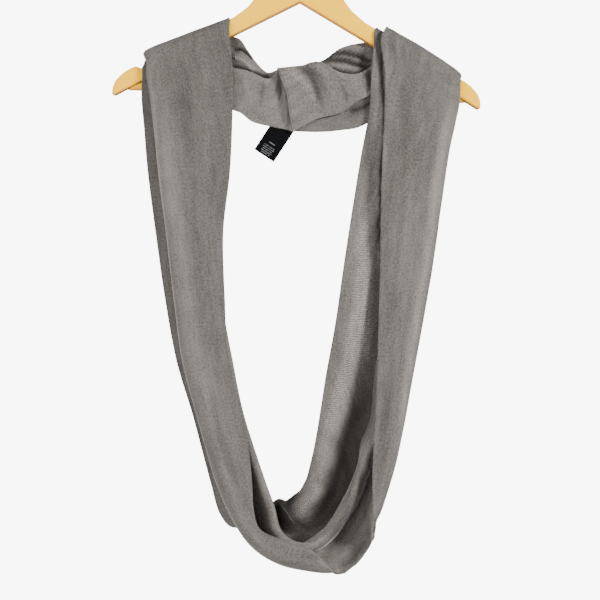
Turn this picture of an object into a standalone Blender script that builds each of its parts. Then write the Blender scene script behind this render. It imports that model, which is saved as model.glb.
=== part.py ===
"""Infinity scarf hung on a wooden clothes hanger.

The scarf is one band of fine jersey joined into a loop. It lies over both arms of
the hanger, hangs in two long drops that meet in a deep bend, and crosses the neck
in front of the trouser bar. The band is laid in lengthwise folds: outer fold, inner
fold and valley, between a front edge and a back edge.

The origin is the inside top of the hook, +Z is up and -Y is the front. The tables
are in millimetres, and every solid is built in metres.
"""

import math
from typing import NamedTuple

import bmesh
import bpy
import numpy as np

MM = 0.001

# ---------------------------------------------------------------- sizes, mm
WALL = 1.2                  # the jersey with its loft
SEAM_GAP = 0.36             # between two stretches of the band
NECK_SEAM_GAP = 1.0         # between the band's own two ends
HANGER_SPAN = 445.0         # tip to tip
HANGER_TILT = 2.2           # degrees, as it hangs
ARM_THICK = 13.0
ARM_ROUND = 4.0             # rounding of an arm's long edges
ARM_SLOPE = 28.6            # degrees
ARM_TOP_AT = (80.0, -129.0)  # where the straight top of an arm starts
ARM_LOW_AT = -108.0         # underside at the middle
NECK_TOP_Z = -64.0
BAR_RADIUS = 5.5
BAR_Z = -215.5
BAR_SOCKET = 201.0          # how far out the bar reaches into each arm
FIT = 0.3                   # clearance between two pieces
HOOK_WIRE = 3.4             # diameter
HOOK_BEND = 22.0            # inside radius of the crook
LABEL = (28.0, 47.0, 0.9)   # wide, long, thick
LABEL_TOP = (-21.5, -14.9, -253.9)
LABEL_TURN = 33.3           # degrees, hanging skew from the seam

ACROSS = (2, 2, 2, 2, 2, 2, 2, 2, 2, 2, 2, 2, 2, 2)  # mesh steps between the columns

BACK = (0.0, 1.0, 0.0)
FRONT = (0.0, -1.0, 0.0)


# ---------------------------------------------------------------- the hanger's frame
def hung(x, y, z):
    """A point of the level hanger, turned with it about the hook."""
    turn = math.radians(HANGER_TILT)
    return (
        x * math.cos(turn) + z * math.sin(turn),
        y,
        z * math.cos(turn) - x * math.sin(turn),
    )


def arm_top(x):
    """Height of an arm's top edge at x."""
    return ARM_TOP_AT[1] - (abs(x) - ARM_TOP_AT[0]) * math.tan(math.radians(ARM_SLOPE))


def arm_low(x):
    """Height of an arm's underside at x."""
    return ARM_LOW_AT - abs(x) * math.tan(math.radians(ARM_SLOPE + 0.1))


def on_arm(x, lift, phase):
    """A point of cloth lying on an arm.

    lift is its distance from the wood. phase runs from -3, low on the front face,
    over the crest at 0 to 3, low on the back face.
    """
    side = 1.0 if phase > 0 else -1.0
    half = ARM_THICK / 2
    slope = math.radians(ARM_SLOPE)
    if abs(phase) == 3:
        return hung(x, side * (half + lift), arm_low(x) + 5.0)
    if abs(phase) == 2:
        return hung(x, side * (half + lift), arm_top(x) - 6.0)
    if abs(phase) == 1:
        reach = (ARM_ROUND + lift) * math.sin(math.radians(45.0))
        rise = reach - ARM_ROUND
        y = side * (half - ARM_ROUND + reach)
    else:
        rise = lift
        y = 0.0
    out = math.copysign(math.sin(slope), x)
    return hung(x + out * rise, y, arm_top(x) + math.cos(slope) * rise)


# ---------------------------------------------------------------- the cloth's sections
class Section(NamedTuple):
    """One section across the band, from its front edge to its back edge."""

    name: str
    radii: tuple      # of the outer fold, the inner fold and the valley
    stack: tuple      # from the front layer to the layers behind it
    edge_a: tuple
    belly: tuple      # of the front layer, halfway
    outer: tuple
    inner: tuple
    valley: tuple
    edge_b: tuple
    hollow: tuple = ()    # of the layer between the folds, where it sinks
    crest: tuple = ()     # of the layer behind the valley, where it turns


class Lay(NamedTuple):
    """How the layers lie on one arm: along the arm and off the wood."""

    edge_a: tuple
    belly: tuple
    outer: tuple
    inner: tuple
    valley: tuple
    edge_b: tuple


LEFT_BACK = Lay((-87, 4.6), (-136, 9.4), (-182, 8.6), (-125, 4.4), (-155, 2.2), (-184, 2.0))
LEFT_LAY = Lay((-84, 2.2), (-136, 8.4), (-182, 8.6), (-128, 3.9), (-155, 2.0), (-183, 2.0))
LEFT_FACE = Lay((-84, 3.5), (-134, 9.4), (-180, 8.6), (-126, 4.6), (-155, 2.4), (-186, 2.0))
RIGHT_BACK = Lay((101.5, 8.6), (140, 10.6), (190, 5.0), (127, 6.2), (146, 3.2), (98, 1.7))
RIGHT_LAY = Lay((101.5, 9.2), (146, 10.2), (196, 4.2), (130, 6.1), (149, 3.2), (92.6, 1.7))
RIGHT_FACE = Lay((99.5, 10.4), (146, 11.4), (196, 4.8), (129, 6.9), (147, 3.7), (91, 2.0))
LEFT_LAYS = (LEFT_BACK, LEFT_LAY, LEFT_FACE)
RIGHT_LAYS = (RIGHT_BACK, RIGHT_LAY, RIGHT_FACE)
LEFT_RADII = (2.8, 1.6, 0.0)
RIGHT_RADII = (1.9, 1.3, 1.15)


def shoulder(name, lays, radii, phases):
    """The sections of the cloth over one arm, with a lay for back, top and front."""
    back, lay, face = lays
    slope = math.radians(ARM_SLOPE)
    crest = (-math.copysign(math.sin(slope), lay.outer[0]), 0.0, -math.cos(slope))
    stacks = {
        -3: BACK,
        -2: BACK,
        -1: (crest[0] * 0.7, 0.7, crest[2] * 0.7),
        0: crest,
        1: (crest[0] * 0.7, -0.7, crest[2] * 0.7),
        2: FRONT,
        3: FRONT,
    }
    for phase in phases:
        used = face if phase < -1 else back if phase == 3 else lay
        points = [on_arm(x, lift, phase) for x, lift in used]
        yield Section(f"{name}_{phase}", radii, stacks[phase], *points)


NECK_LEFT = (
    Section("neck_l0", (2, 1.8, 0), FRONT, (-27, -7.6, -187), (-19, -9, -225),
            (-13, -11.1, -263), (-30, -16.8, -190.5), (-18.5, -19, -219),
            (-12.5, -19.4, -264.5)),
    Section("neck_l0s", (2, 1.8, 0), FRONT, (-34, -7, -190.5), (-27, -8.3, -225),
            (-21.5, -10.8, -260), (-36.5, -14.3, -199), (-27, -16.2, -229), (-20, -16.8, -262)),
    Section("neck_l1", (2, 1.8, 0), FRONT, (-45, -7, -192), (-44, -8.2, -222),
            (-43, -10.8, -254), (-45, -14.4, -201), (-42, -16.8, -229), (-40, -17, -258)),
    Section("neck_l2", (2, 1.8, 0), FRONT, (-64, -5.5, -171), (-63, -8.2, -209),
            (-62, -10.8, -247), (-64, -14, -193), (-63, -16.2, -223), (-62, -16.5, -252)),
    Section("neck_l3", (2, 1.8, 0), FRONT, (-75, 1, -153), (-75, -7.6, -196),
            (-75, -10.8, -237), (-76, -13.8, -190), (-75, -16, -215), (-75, -16.4, -242)),
    Section("neck_l4", (2, 1.8, 0), FRONT, (-85, 9.5, -147), (-87, -5.5, -192),
            (-89, -10.8, -229), (-89, -13.4, -187), (-89, -15.6, -210), (-89, -16, -235)),
    Section("over_l", (2.4, 2, 0), (0, -0.8, 0.5), (-88, 10.5, -148),
            (-101, -3, -190), (-117, -10.5, -211), (-99, -9, -178),
            (-106, -13, -192), (-113, -16, -204)),
    Section("under_l", (2.8, 2.2, 0), (0, -0.5, 1), (-90, 12, -150),
            (-112, 10, -181), (-134, -1, -201), (-103, 4, -172),
            (-115, -1, -180), (-127, -5, -188)),
    Section("behind_l", (3, 2, 0), (0, -1, 0.3), (-92, 13.5, -150),
            (-128, 17.5, -180), (-170, 15.5, -203), (-116, 12, -169),
            (-140, 9.3, -184), (-168, 8.6, -198)),
)

DROP_LEFT = (
    Section("drop_l1", (2.6, 1.7, 0), BACK, (-85, -23.5, -190), (-134, -26.5, -206),
            (-183, -22.5, -222), (-119, -18.4, -199), (-151, -16.8, -211), (-194, -13, -224)),
    Section("drop_l2", (2.4, 1.7, 0), BACK, (-85, -26, -245), (-132, -28, -252),
            (-178, -24, -262), (-116, -21.2, -246), (-150, -17.5, -252), (-191, -12, -260)),
    Section("drop_l3", (2.4, 2, 0), BACK, (-88, -25, -312), (-130, -27, -312),
            (-173, -23, -312), (-109, -18, -312), (-143, -14, -312), (-187, -9, -311)),
    Section("drop_l4", (2.6, 2.4, 0), BACK, (-96, -24, -385), (-130, -27, -385),
            (-164, -22, -385), (-102, -16, -385), (-136, -10, -385), (-178, -5, -384)),
    Section("drop_l5", (3, 2.8, 0), BACK, (-94, -23, -470), (-124, -27, -470),
            (-154, -21, -470), (-97, -14, -470), (-129, -7, -470), (-166, -1, -470)),
    Section("drop_l6", (4, 3.5, 0), BACK, (-90, -25, -540), (-117, -30, -540),
            (-144, -23, -540), (-85, -13, -541), (-117, -4, -541), (-153, 3, -541)),
    Section("drop_l7", (5, 4.5, 0), BACK, (-73, -29, -602), (-100, -35, -602),
            (-127, -27, -603), (-72, -16, -603), (-104, 5, -605), (-134, 9, -606),
            hollow=(-96, -10, -603)),
    Section("drop_l8", (7, 5, 0), BACK, (-64, -36, -655), (-88, -43, -655), (-112, -33, -655),
            (-55, -19, -657), (-89, 11, -661), (-120, 15, -661), hollow=(-75, -9, -657)),
)

BEND = (
    Section("bend_1", (8, 5, 0), BACK, (-61, -44, -683), (-81, -51, -684), (-102, -38, -686),
            (-46, -23, -685), (-77, 15, -693), (-112, 19, -692), hollow=(-63, -9, -688)),
    Section("bend_2", (9, 5, 0), BACK, (-59, -52, -710), (-72, -60, -716), (-86, -46, -721),
            (-36, -29, -714), (-67, 18, -726), (-102, 23, -727), hollow=(-54, -8, -721)),
    Section("bend_3", (9, 5, 0), BACK, (-52, -60, -734), (-61, -68, -742), (-67, -54, -750),
            (-29.5, -35, -739), (-53, 20, -750), (-87, 27, -744), hollow=(-47, -16, -745)),
    Section("bend_4", (9, 5, 0), BACK, (-33, -66, -744), (-41, -74, -756), (-46, -60, -767),
            (-15, -41, -750), (-36, 19, -763), (-64, 35, -741)),
    Section("bend_5", (9, 5, 0), BACK, (-13, -69, -749), (-18, -77, -763), (-22, -62, -778),
            (-1, -46, -754), (-11, 18, -766), (-46, 40, -724)),
    Section("bend_6", (7, 5, 0), BACK, (9, -69, -758), (5, -75, -770), (1, -60, -783),
            (10.6, -48, -754), (7, 20, -758), (-34, 40, -713)),
    Section("bend_7", (4, 5, 0), BACK, (26, -67, -774), (24, -66, -780), (21, -58, -786),
            (19.5, -46, -750), (17, 21, -751), (-28, 36, -711), hollow=(22, -16, -765),
            crest=(-12, 16, -736)),
    Section("bend_8", (1, 5, 0), BACK, (36, -63, -786), (36, -60, -786.5), (36, -54, -786),
            (27.2, -44, -744), (25.2, 23, -745.5), (-24, 32, -712), hollow=(32.6, -9, -758.5),
            crest=(-11, 5, -730)),
    Section("bend_9", (0, 5, 0), BACK, (44, -48, -789.5), (43.5, -49, -787.5),
            (43, -51, -784), (33.2, -42, -737.7), (30.7, 24, -738.7), (-21, 23, -711.5),
            hollow=(41, -5, -752), crest=(-4, -1, -721.5)),
    Section("bend_10", (-1, 5, 0), BACK, (52, -37, -787.5), (52.5, -41, -786),
            (52.5, -47, -782), (38, -40, -731.5), (35.5, 25, -732.5), (-17, 15, -708),
            hollow=(47, -3, -745), crest=(2, -3, -714)),
    Section("bend_11", (-3, 5, 0), BACK, (57, -24, -780), (60, -33, -781.5),
            (61.5, -45, -779), (41.5, -38, -725.8), (39, 25, -726.8), (-12, 12, -704),
            hollow=(52, -2, -738.5), crest=(9, -5, -707.5)),
    Section("bend_12", (-4, 5, 0), BACK, (70, -21, -760), (75, -31, -760.5),
            (78.5, -43, -757), (51.7, -36, -708.3), (48.7, 26, -709.3), (-4, 11, -698),
            hollow=(64.8, 1, -720), crest=(16, -6, -694)),
    Section("bend_13", (-1, 5, 0), BACK, (83, -29, -752), (82.5, -34, -751),
            (81.5, -40.5, -748), (55.8, -35, -700.7), (52.8, 26, -701.7), (-1, 10, -693),
            hollow=(69, 2, -712), crest=(18.5, -6, -687.5)),
    Section("bend_14", (0, 5, 0), BACK, (84.5, -42, -740), (84, -42, -739), (82, -41, -736.5),
            (59, -34, -693.7), (56, 26, -694.7), (1, 9, -689), hollow=(72, 3, -704.6),
            crest=(20.5, -7, -682)),
    Section("bend_15", (1, 5, 0), BACK, (84.5, -53, -729), (85.5, -48, -729),
            (85.5, -41, -728), (62.5, -32, -685.6), (59.5, 26, -686.6), (3, 8, -685),
            hollow=(75, 3, -696), crest=(22.5, -7, -676)),
    Section("bend_16", (3, 5, 0), BACK, (82, -53, -716), (87.5, -50, -717), (91, -40, -718),
            (66, -30, -677), (63, 26, -678), (5, 7, -679), hollow=(78, 4, -687),
            crest=(25, -8, -669)),
    Section("bend_17", (5, 5, 0), BACK, (82, -51, -701), (91, -51, -702), (96.5, -38, -703),
            (70.7, -28, -665.2), (66.7, 25, -666.2), (7, 6, -671), hollow=(82.5, 5, -674.6),
            crest=(27.5, -8, -660)),
)

DROP_RIGHT = (
    Section("drop_r1", (7, 5, 0), BACK, (82, -46, -667), (97, -48, -667), (108, -33, -668),
            (78.3, -24, -645.3), (70, 22, -640), (12, 5, -650), hollow=(87, 5, -651.6),
            crest=(32, -9, -641)),
    Section("drop_r2", (6, 4, 0), BACK, (85, -38, -620), (103, -40, -620), (119, -27, -621),
            (95, -20, -616), (81, 18, -612), (19, 3, -612), hollow=(104, 1, -618.5),
            crest=(41, -9, -610)),
    Section("drop_r3", (5, 3.5, 0), BACK, (88, -31, -561), (110, -33, -561), (130, -22, -562),
            (104, -13, -560), (86, 12.5, -560), (27, -2, -560), hollow=(115, -3, -561),
            crest=(53, -11, -560)),
    Section("drop_r4", (4, 3, 1), BACK, (90, -27, -493), (117, -29, -492), (143, -20, -491),
            (111, -8, -492), (97, 3.5, -492), (39, -6, -493), crest=(70, -12, -493)),
    Section("drop_r5", (3, 2.5, 1.5), BACK, (92, -25, -425), (124, -27, -424),
            (155, -19, -423), (116, -12, -423), (112, -4, -423), (49, -11, -423),
            crest=(80, -13.5, -423)),
    Section("drop_r6", (2.5, 2, 1.5), BACK, (93, -25, -353), (129, -27, -352),
            (165, -20, -351), (118, -15, -352), (131, -9, -352), (60, -9, -352)),
    Section("drop_r7", (2.2, 1.7, 1.4), BACK, (95, -26, -290), (135, -28, -290),
            (174, -22, -290), (120, -19, -289), (135, -15.5, -289), (70, -14.5, -290)),
    Section("drop_r8", (2.2, 1.3, 1.2), BACK, (97, -28, -242), (139, -30, -250),
            (180.5, -25, -258), (121, -23.8, -244), (137, -21, -248), (79, -19.4, -240)),
    Section("drop_r9", (2.2, 1.3, 1.1), BACK, (97.5, -27.5, -194), (142, -29, -210),
            (186, -21, -232), (122, -23.4, -202), (139, -20.8, -211), (82, -19.6, -192)),
)

NECK_RIGHT = (
    Section("behind_r", (2.6, 1.6, 1.2), (0, -1, 0.3), (94, 15.6, -164),
            (124, 19, -188), (163, 15.5, -214), (117, 13.4, -182),
            (134, 10.6, -192), (104, 8.8, -172)),
    Section("under_r", (2.8, 2, 1.2), (0, -0.5, 1), (89, 14, -161),
            (106, 11, -189), (125, -1, -207), (100, 4.6, -181),
            (110, -1.5, -188), (104, -5, -181)),
    Section("over_r", (2.4, 2, 0.8), (0, -0.8, 0.5), (86.5, 12, -157),
            (95, -2.5, -197), (109, -10.5, -219), (93, -7.8, -182),
            (99, -11.8, -190), (97.6, -16.4, -190.5)),
    Section("front_r", (2.2, 2, 0.6), (0, -1, 0.2), (85.5, 10.6, -155),
            (89, -4.5, -200), (96, -10.8, -232), (88, -12, -183),
            (91, -14, -193), (91, -17, -200)),
    Section("neck_r4", (2, 1.8, 0), FRONT, (84, 9.5, -153.5), (84.5, -5.5, -201),
            (85, -10.8, -246), (84, -13.6, -184), (85, -16, -199), (84, -16.6, -216)),
    Section("neck_r3", (2, 1.8, 0), FRONT, (68, 6, -155.5), (67.5, -7, -206),
            (67, -10.8, -258), (66, -14, -195), (65, -16.2, -212), (65, -16.7, -228)),
    Section("neck_r2", (2, 1.8, 0), FRONT, (45, -4.5, -163), (44.5, -8.2, -212),
            (44, -10.8, -262), (45, -14, -194), (44, -16.6, -219), (44, -17, -242)),
    Section("neck_r1", (2, 1.8, 0), FRONT, (19, -7.5, -180), (19, -8.6, -222),
            (19, -11.2, -264), (19, -14.5, -182), (17, -17.2, -217), (17, -17.7, -249)),
    Section("neck_r0", (2, 1.9, 0), FRONT, (-27, -7.6, -187), (-19, -9, -225),
            (-13, -11.1, -263), (-30, -16.8, -190.5), (-18.5, -19, -219),
            (-12.5, -19.4, -264.5)),
)


def loop_sections():
    """Every section of the band in order, with the seam at both ends."""
    sections = list(NECK_LEFT)
    sections += shoulder("arm_l", LEFT_LAYS, LEFT_RADII, (3, 2, 1, 0, -1, -2, -3))
    sections += DROP_LEFT + BEND + DROP_RIGHT
    sections += shoulder("arm_r", RIGHT_LAYS, RIGHT_RADII, (-3, -2, -1, 0, 1, 2, 3))
    sections += NECK_RIGHT
    return sections


def unit(vector):
    """The vector at length one."""
    return vector / max(np.linalg.norm(vector), 1e-9)


def columns(section):
    """The control points across one section, with a rounded turn at each fold.

    A turn is three points: the fold, and one to each side of it that lies a fold
    radius off along the stack. Where the cloth runs on nearly straight, as the
    valley does on the left, the turn flattens out by itself. The layer between the
    folds and the one behind the valley run straight, unless a hollow or a crest is
    given for them to pass through.
    """
    stack = unit(np.array(section.stack, dtype=float))
    edge_a, belly, outer, inner, valley, edge_b = (np.array(p, dtype=float) for p in (
        section.edge_a, section.belly, section.outer, section.inner, section.valley,
        section.edge_b))
    hollow = np.array(section.hollow, dtype=float)
    crest = np.array(section.crest, dtype=float)
    sinks, turned = len(hollow) > 0, len(crest) > 0
    turns = []
    for radius, before, fold, after in zip(
            section.radii, (belly, hollow if sinks else outer, inner), (outer, inner, valley),
            (inner, valley, crest if turned else edge_b)):
        back, ahead = before - fold, after - fold
        shorter = min(np.linalg.norm(back), np.linalg.norm(ahead))
        reach = min(max(abs(radius), 3.0), 0.4 * shorter)
        back, ahead = unit(back), unit(ahead)
        apart = unit(ahead - back) if sinks and fold is inner else stack
        off = apart * radius * (1.0 + float(back @ ahead)) / 2.0
        turns.append((fold + back * reach - off, fold, fold + ahead * reach + off))
    if not sinks:
        hollow = (turns[0][2] + turns[1][0]) / 2.0
    if not turned:
        crest = (turns[2][2] + edge_b) / 2.0
    middle = (turns[1][2] + turns[2][0]) / 2.0
    points = [edge_a, belly, *turns[0], hollow, *turns[1], middle, *turns[2], crest, edge_b]
    return np.array(points)


def spline(points, knots, at):
    """A smooth curve through points at knots, read at the given values."""
    steps = np.diff(knots).reshape((-1,) + (1,) * (points.ndim - 1))
    rates = np.diff(points, axis=0) / steps
    slopes = np.empty_like(points)
    slopes[0] = rates[0]
    slopes[-1] = rates[-1]
    slopes[1:-1] = (rates[:-1] * steps[1:] + rates[1:] * steps[:-1]) / (steps[1:] + steps[:-1])
    i = np.clip(np.searchsorted(knots, at, side="right") - 1, 0, len(points) - 2)
    t = ((at - knots[i]) / np.diff(knots)[i]).reshape((-1,) + (1,) * (points.ndim - 1))
    span = steps[i]
    return (
        (2 * t**3 - 3 * t**2 + 1) * points[i]
        + (t**3 - 2 * t**2 + t) * span * slopes[i]
        + (3 * t**2 - 2 * t**3) * points[i + 1]
        + (t**3 - t**2) * span * slopes[i + 1]
    )


def fill(knots, counts):
    """The knots with counts steps in each interval."""
    values = [knots[:1]]
    for start, end, count in zip(knots[:-1], knots[1:], counts):
        values.append(start + (end - start) * np.arange(1, count + 1) / count)
    return np.concatenate(values)


def across(section):
    """The points across one section, the same count for every section."""
    points = columns(section)
    chord = np.sqrt(np.linalg.norm(np.diff(points, axis=0), axis=1))
    knots = np.concatenate([[0.0], np.cumsum(chord)])
    return spline(points, knots, fill(knots, ACROSS))


# ---------------------------------------------------------------- the stretches
class Stretch(NamedTuple):
    """A named length of the band between two of its sections."""

    name: str
    first: str
    last: str
    steps: int        # mesh steps between two sections


STRETCHES = (
    Stretch("neck_left", "neck_l0", "neck_l4", 2),
    Stretch("left_shoulder", "neck_l4", "drop_l2", 2),
    Stretch("left_drop", "drop_l2", "drop_l8", 2),
    Stretch("bend_left", "drop_l8", "bend_5", 2),
    Stretch("bend_right", "bend_5", "drop_r1", 2),
    Stretch("right_drop", "drop_r1", "drop_r8", 2),
    Stretch("right_shoulder", "drop_r8", "neck_r4", 2),
    Stretch("neck_right", "neck_r4", "neck_r0", 2),
)


def band_stretches():
    """The middle surface of each stretch: a grid of points, shortened at its joins."""
    sections = loop_sections()
    names = [section.name for section in sections]
    rows = np.array([across(section) for section in sections])
    gaps = np.median(np.linalg.norm(np.diff(rows, axis=0), axis=2), axis=1)
    knots = np.concatenate([[0.0], np.cumsum(np.sqrt(gaps))])
    for stretch in STRETCHES:
        first = names.index(stretch.first)
        last = names.index(stretch.last)
        at = fill(knots[first:last + 1], [stretch.steps] * (last - first))
        grid = spline(rows, knots, at)
        for end, inner, joined in ((0, 1, first > 0), (-1, -2, last < len(names) - 1)):
            way = grid[inner] - grid[end]
            way /= np.linalg.norm(way, axis=1, keepdims=True)
            grid[end] += way * (SEAM_GAP if joined else NECK_SEAM_GAP) / 2.0
        yield stretch.name, grid


# ---------------------------------------------------------------- making solids
def material(name, colour, roughness, sheen=0.0):
    """A plain material in one colour."""
    made = bpy.data.materials.new(name)
    made.use_nodes = True
    shader = made.node_tree.nodes["Principled BSDF"]
    shader.inputs["Base Color"].default_value = (*colour, 1.0)
    shader.inputs["Roughness"].default_value = roughness
    shader.inputs["Sheen Weight"].default_value = sheen
    made.diffuse_color = (*colour, 1.0)
    return made


def add_object(name, mesh, finish, home):
    """An object of the mesh with its material, in the part's collection."""
    mesh.materials.clear()
    mesh.materials.append(finish)
    made = bpy.data.objects.new(name, mesh)
    home.objects.link(made)
    return made


def cloth_solid(name, grid, finish, home):
    """The wall of one stretch of cloth, thickened from its middle surface."""
    rows, count, _ = grid.shape
    index = np.arange(rows * count).reshape(rows, count)
    faces = np.stack(
        [index[:-1, :-1], index[1:, :-1], index[1:, 1:], index[:-1, 1:]], axis=-1)
    mesh = bpy.data.meshes.new(name)
    mesh.from_pydata((grid.reshape(-1, 3) * MM).tolist(), [], faces.reshape(-1, 4).tolist())
    mesh.update()
    made = add_object(name, mesh, finish, home)
    wall = made.modifiers.new("wall", "SOLIDIFY")
    wall.thickness = WALL * MM
    wall.offset = 0.0
    wall.use_rim = True
    return made


def applied(made):
    """The object with its modifiers made real, faces outward."""
    graph = bpy.context.evaluated_depsgraph_get()
    mesh = bpy.data.meshes.new_from_object(made.evaluated_get(graph))
    mesh.transform(made.matrix_world)
    form = bmesh.new()
    form.from_mesh(mesh)
    bmesh.ops.remove_doubles(form, verts=form.verts, dist=1e-6)
    bmesh.ops.recalc_face_normals(form, faces=form.faces)
    form.to_mesh(mesh)
    form.free()
    for slot in made.data.materials:
        if slot and not mesh.materials:
            mesh.materials.append(slot)
    made.modifiers.clear()
    made.data = mesh
    made.matrix_world.identity()
    return made


def rod(name, radius, ends, finish, home, sides=24):
    """A round rod lying along x from one end to the other."""
    form = bmesh.new()
    bmesh.ops.create_cone(form, cap_ends=True, segments=sides, radius1=radius * MM,
                          radius2=radius * MM, depth=(ends[1] - ends[0]) * MM)
    mesh = bpy.data.meshes.new(name)
    form.to_mesh(mesh)
    form.free()
    made = add_object(name, mesh, finish, home)
    made.rotation_euler = (0.0, math.pi / 2, 0.0)
    made.location = ((ends[0] + ends[1]) / 2 * MM, 0.0, 0.0)
    return made


def hanger_outline():
    """Half of the hanger's outline, from the underside's middle round to the top."""
    low = [(0.0, ARM_LOW_AT), (204.0, arm_low(204.0))]
    end = [
        (217.5, -227.4),
        (221.0, -228.3),
        (222.5, -225.5),
        (222.0, -218.5),
        (218.5, -209.6),
        (210.0, -200.4),
        (202.0, -195.0),
        (195.5, -192.0),
    ]
    notch = [(188.4, -194.0), (182.0, -189.0), (176.0, arm_top(176.0))]
    neck = [
        (80.0, arm_top(80.0)),
        (63.0, -115.5),
        (54.0, -104.0),
        (47.0, -91.0),
        (39.0, -79.5),
        (28.0, -70.5),
        (14.0, NECK_TOP_Z - 1.2),
    ]
    stretch = HANGER_SPAN / 445.0
    half = low + [(x * stretch, z) for x, z in end + notch] + neck
    whole = half + [(0.0, NECK_TOP_Z)]
    whole += [(-x, z) for x, z in reversed(half[1:])]
    return whole


def hanger_body(finish, home, cutters):
    """Both arms in one shape, with sockets for the bar and the hook."""
    half = ARM_THICK / 2 * MM
    form = bmesh.new()
    ring = [form.verts.new((x * MM, -half, z * MM)) for x, z in hanger_outline()]
    face = form.faces.new(ring)
    pulled = bmesh.ops.extrude_face_region(form, geom=[face])
    moved = [item for item in pulled["geom"] if isinstance(item, bmesh.types.BMVert)]
    bmesh.ops.translate(form, verts=moved, vec=(0.0, 2 * half, 0.0))
    bmesh.ops.recalc_face_normals(form, faces=form.faces)
    mesh = bpy.data.meshes.new("hanger_body")
    form.to_mesh(mesh)
    form.free()
    made = add_object("hanger_body", mesh, finish, home)
    edge = made.modifiers.new("rounded", "BEVEL")
    edge.width = ARM_ROUND * MM
    edge.segments = 3
    edge.limit_method = "ANGLE"
    edge.angle_limit = math.radians(60.0)
    socket = rod("bar_socket", BAR_RADIUS + FIT, (-BAR_SOCKET - FIT, BAR_SOCKET + FIT),
                 finish, cutters)
    socket.location.z = BAR_Z * MM
    hole = rod("hook_hole", HOOK_WIRE / 2 + FIT, (-12.0, 12.0), finish, cutters, 16)
    hole.rotation_euler = (0.0, 0.0, 0.0)
    hole.location = (0.0, 0.0, (NECK_TOP_Z - 8.0) * MM)
    for cutter in (socket, hole):
        cutter.hide_render = True
        cutter.display_type = "WIRE"
        step = made.modifiers.new(cutter.name, "BOOLEAN")
        step.operation = "DIFFERENCE"
        step.solver = "EXACT"
        step.object = cutter
    return made


def hook_path():
    """The middle line of the hook's wire: a stem, then a crook round its centre."""
    radius = HOOK_BEND + HOOK_WIRE / 2
    points = [(0.0, NECK_TOP_Z - 19.0), (0.0, NECK_TOP_Z), (0.4, NECK_TOP_Z + 6.0),
              (3.0, NECK_TOP_Z + 12.5), (8.5, NECK_TOP_Z + 18.0)]
    for step in range(18):
        turn = math.radians(-46.0 + 246.0 * step / 17)
        points.append((radius * math.cos(turn), radius * math.sin(turn) - HOOK_BEND))
    return points


def hanger_hook(finish, home):
    """The wire hook, a curve with a round section and closed ends."""
    curve = bpy.data.curves.new("hanger_hook", "CURVE")
    curve.dimensions = "3D"
    curve.bevel_depth = HOOK_WIRE / 2 * MM
    curve.bevel_resolution = 2
    curve.use_fill_caps = True
    points = hook_path()
    line = curve.splines.new("POLY")
    line.points.add(len(points) - 1)
    for spot, (x, z) in zip(line.points, points):
        spot.co = (x * MM, 0.0, z * MM, 1.0)
    made = bpy.data.objects.new("hanger_hook", curve)
    curve.materials.append(finish)
    home.objects.link(made)
    return made


def care_label(finish, home):
    """The satin label that hangs from the seam between the neck's layers."""
    wide, long, thick = (size * MM for size in LABEL)
    form = bmesh.new()
    bmesh.ops.create_cube(form, size=1.0)
    bmesh.ops.scale(form, vec=(wide, thick, long), verts=form.verts)
    bmesh.ops.translate(form, vec=(0.0, 0.0, -long / 2), verts=form.verts)
    mesh = bpy.data.meshes.new("care_label")
    form.to_mesh(mesh)
    form.free()
    made = add_object("care_label", mesh, finish, home)
    made.rotation_euler = (0.0, math.radians(LABEL_TURN), 0.0)
    made.location = tuple(value * MM for value in LABEL_TOP)
    return made


def main():
    """Build the scarf, its label and the hanger."""
    for old in list(bpy.data.objects):
        bpy.data.objects.remove(old, do_unlink=True)
    home = bpy.data.collections.new("infinity_scarf")
    cutters = bpy.data.collections.new("cutters")
    bpy.context.scene.collection.children.link(home)
    bpy.context.scene.collection.children.link(cutters)

    jersey = material("taupe_jersey", (0.262, 0.246, 0.222), 0.95, 0.3)
    satin = material("black_satin", (0.008, 0.009, 0.012), 0.35)
    wood = material("varnished_wood", (0.86, 0.60, 0.24), 0.35)
    steel = material("plated_steel", (0.75, 0.75, 0.76), 0.25)

    solids = [cloth_solid(name, grid, jersey, home) for name, grid in band_stretches()]
    solids.append(care_label(satin, home))

    body = hanger_body(wood, home, cutters)
    bar = rod("hanger_bar", BAR_RADIUS, (-BAR_SOCKET, BAR_SOCKET), wood, home)
    bar.location.z = BAR_Z * MM
    hook = hanger_hook(steel, home)
    bpy.context.view_layer.update()
    hanger = []
    for piece in (body, bar):
        hanger.append(applied(piece))
    mesh = bpy.data.meshes.new_from_object(hook.evaluated_get(
        bpy.context.evaluated_depsgraph_get()))
    bpy.data.objects.remove(hook, do_unlink=True)
    hanger.append(add_object("hanger_hook", mesh, steel, home))
    for piece in hanger:
        piece.rotation_euler = (0.0, math.radians(HANGER_TILT), 0.0)
    bpy.context.view_layer.update()
    for piece in solids + hanger:
        applied(piece)


main()
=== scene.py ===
"""Infinity scarf on its wooden hanger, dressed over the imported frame.

The scarf is one band of fine jersey joined into a loop. Its surface is a function of
two parameters, across the band and along the loop, read from a table with one row for
each section. The hanger, the hook, the bar and the label are built from their sizes.
The tables are in millimetres and every mesh is in metres.
"""

import logging
import math
from dataclasses import dataclass, field
from enum import Enum
from typing import Iterator, NamedTuple, Sequence

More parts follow.
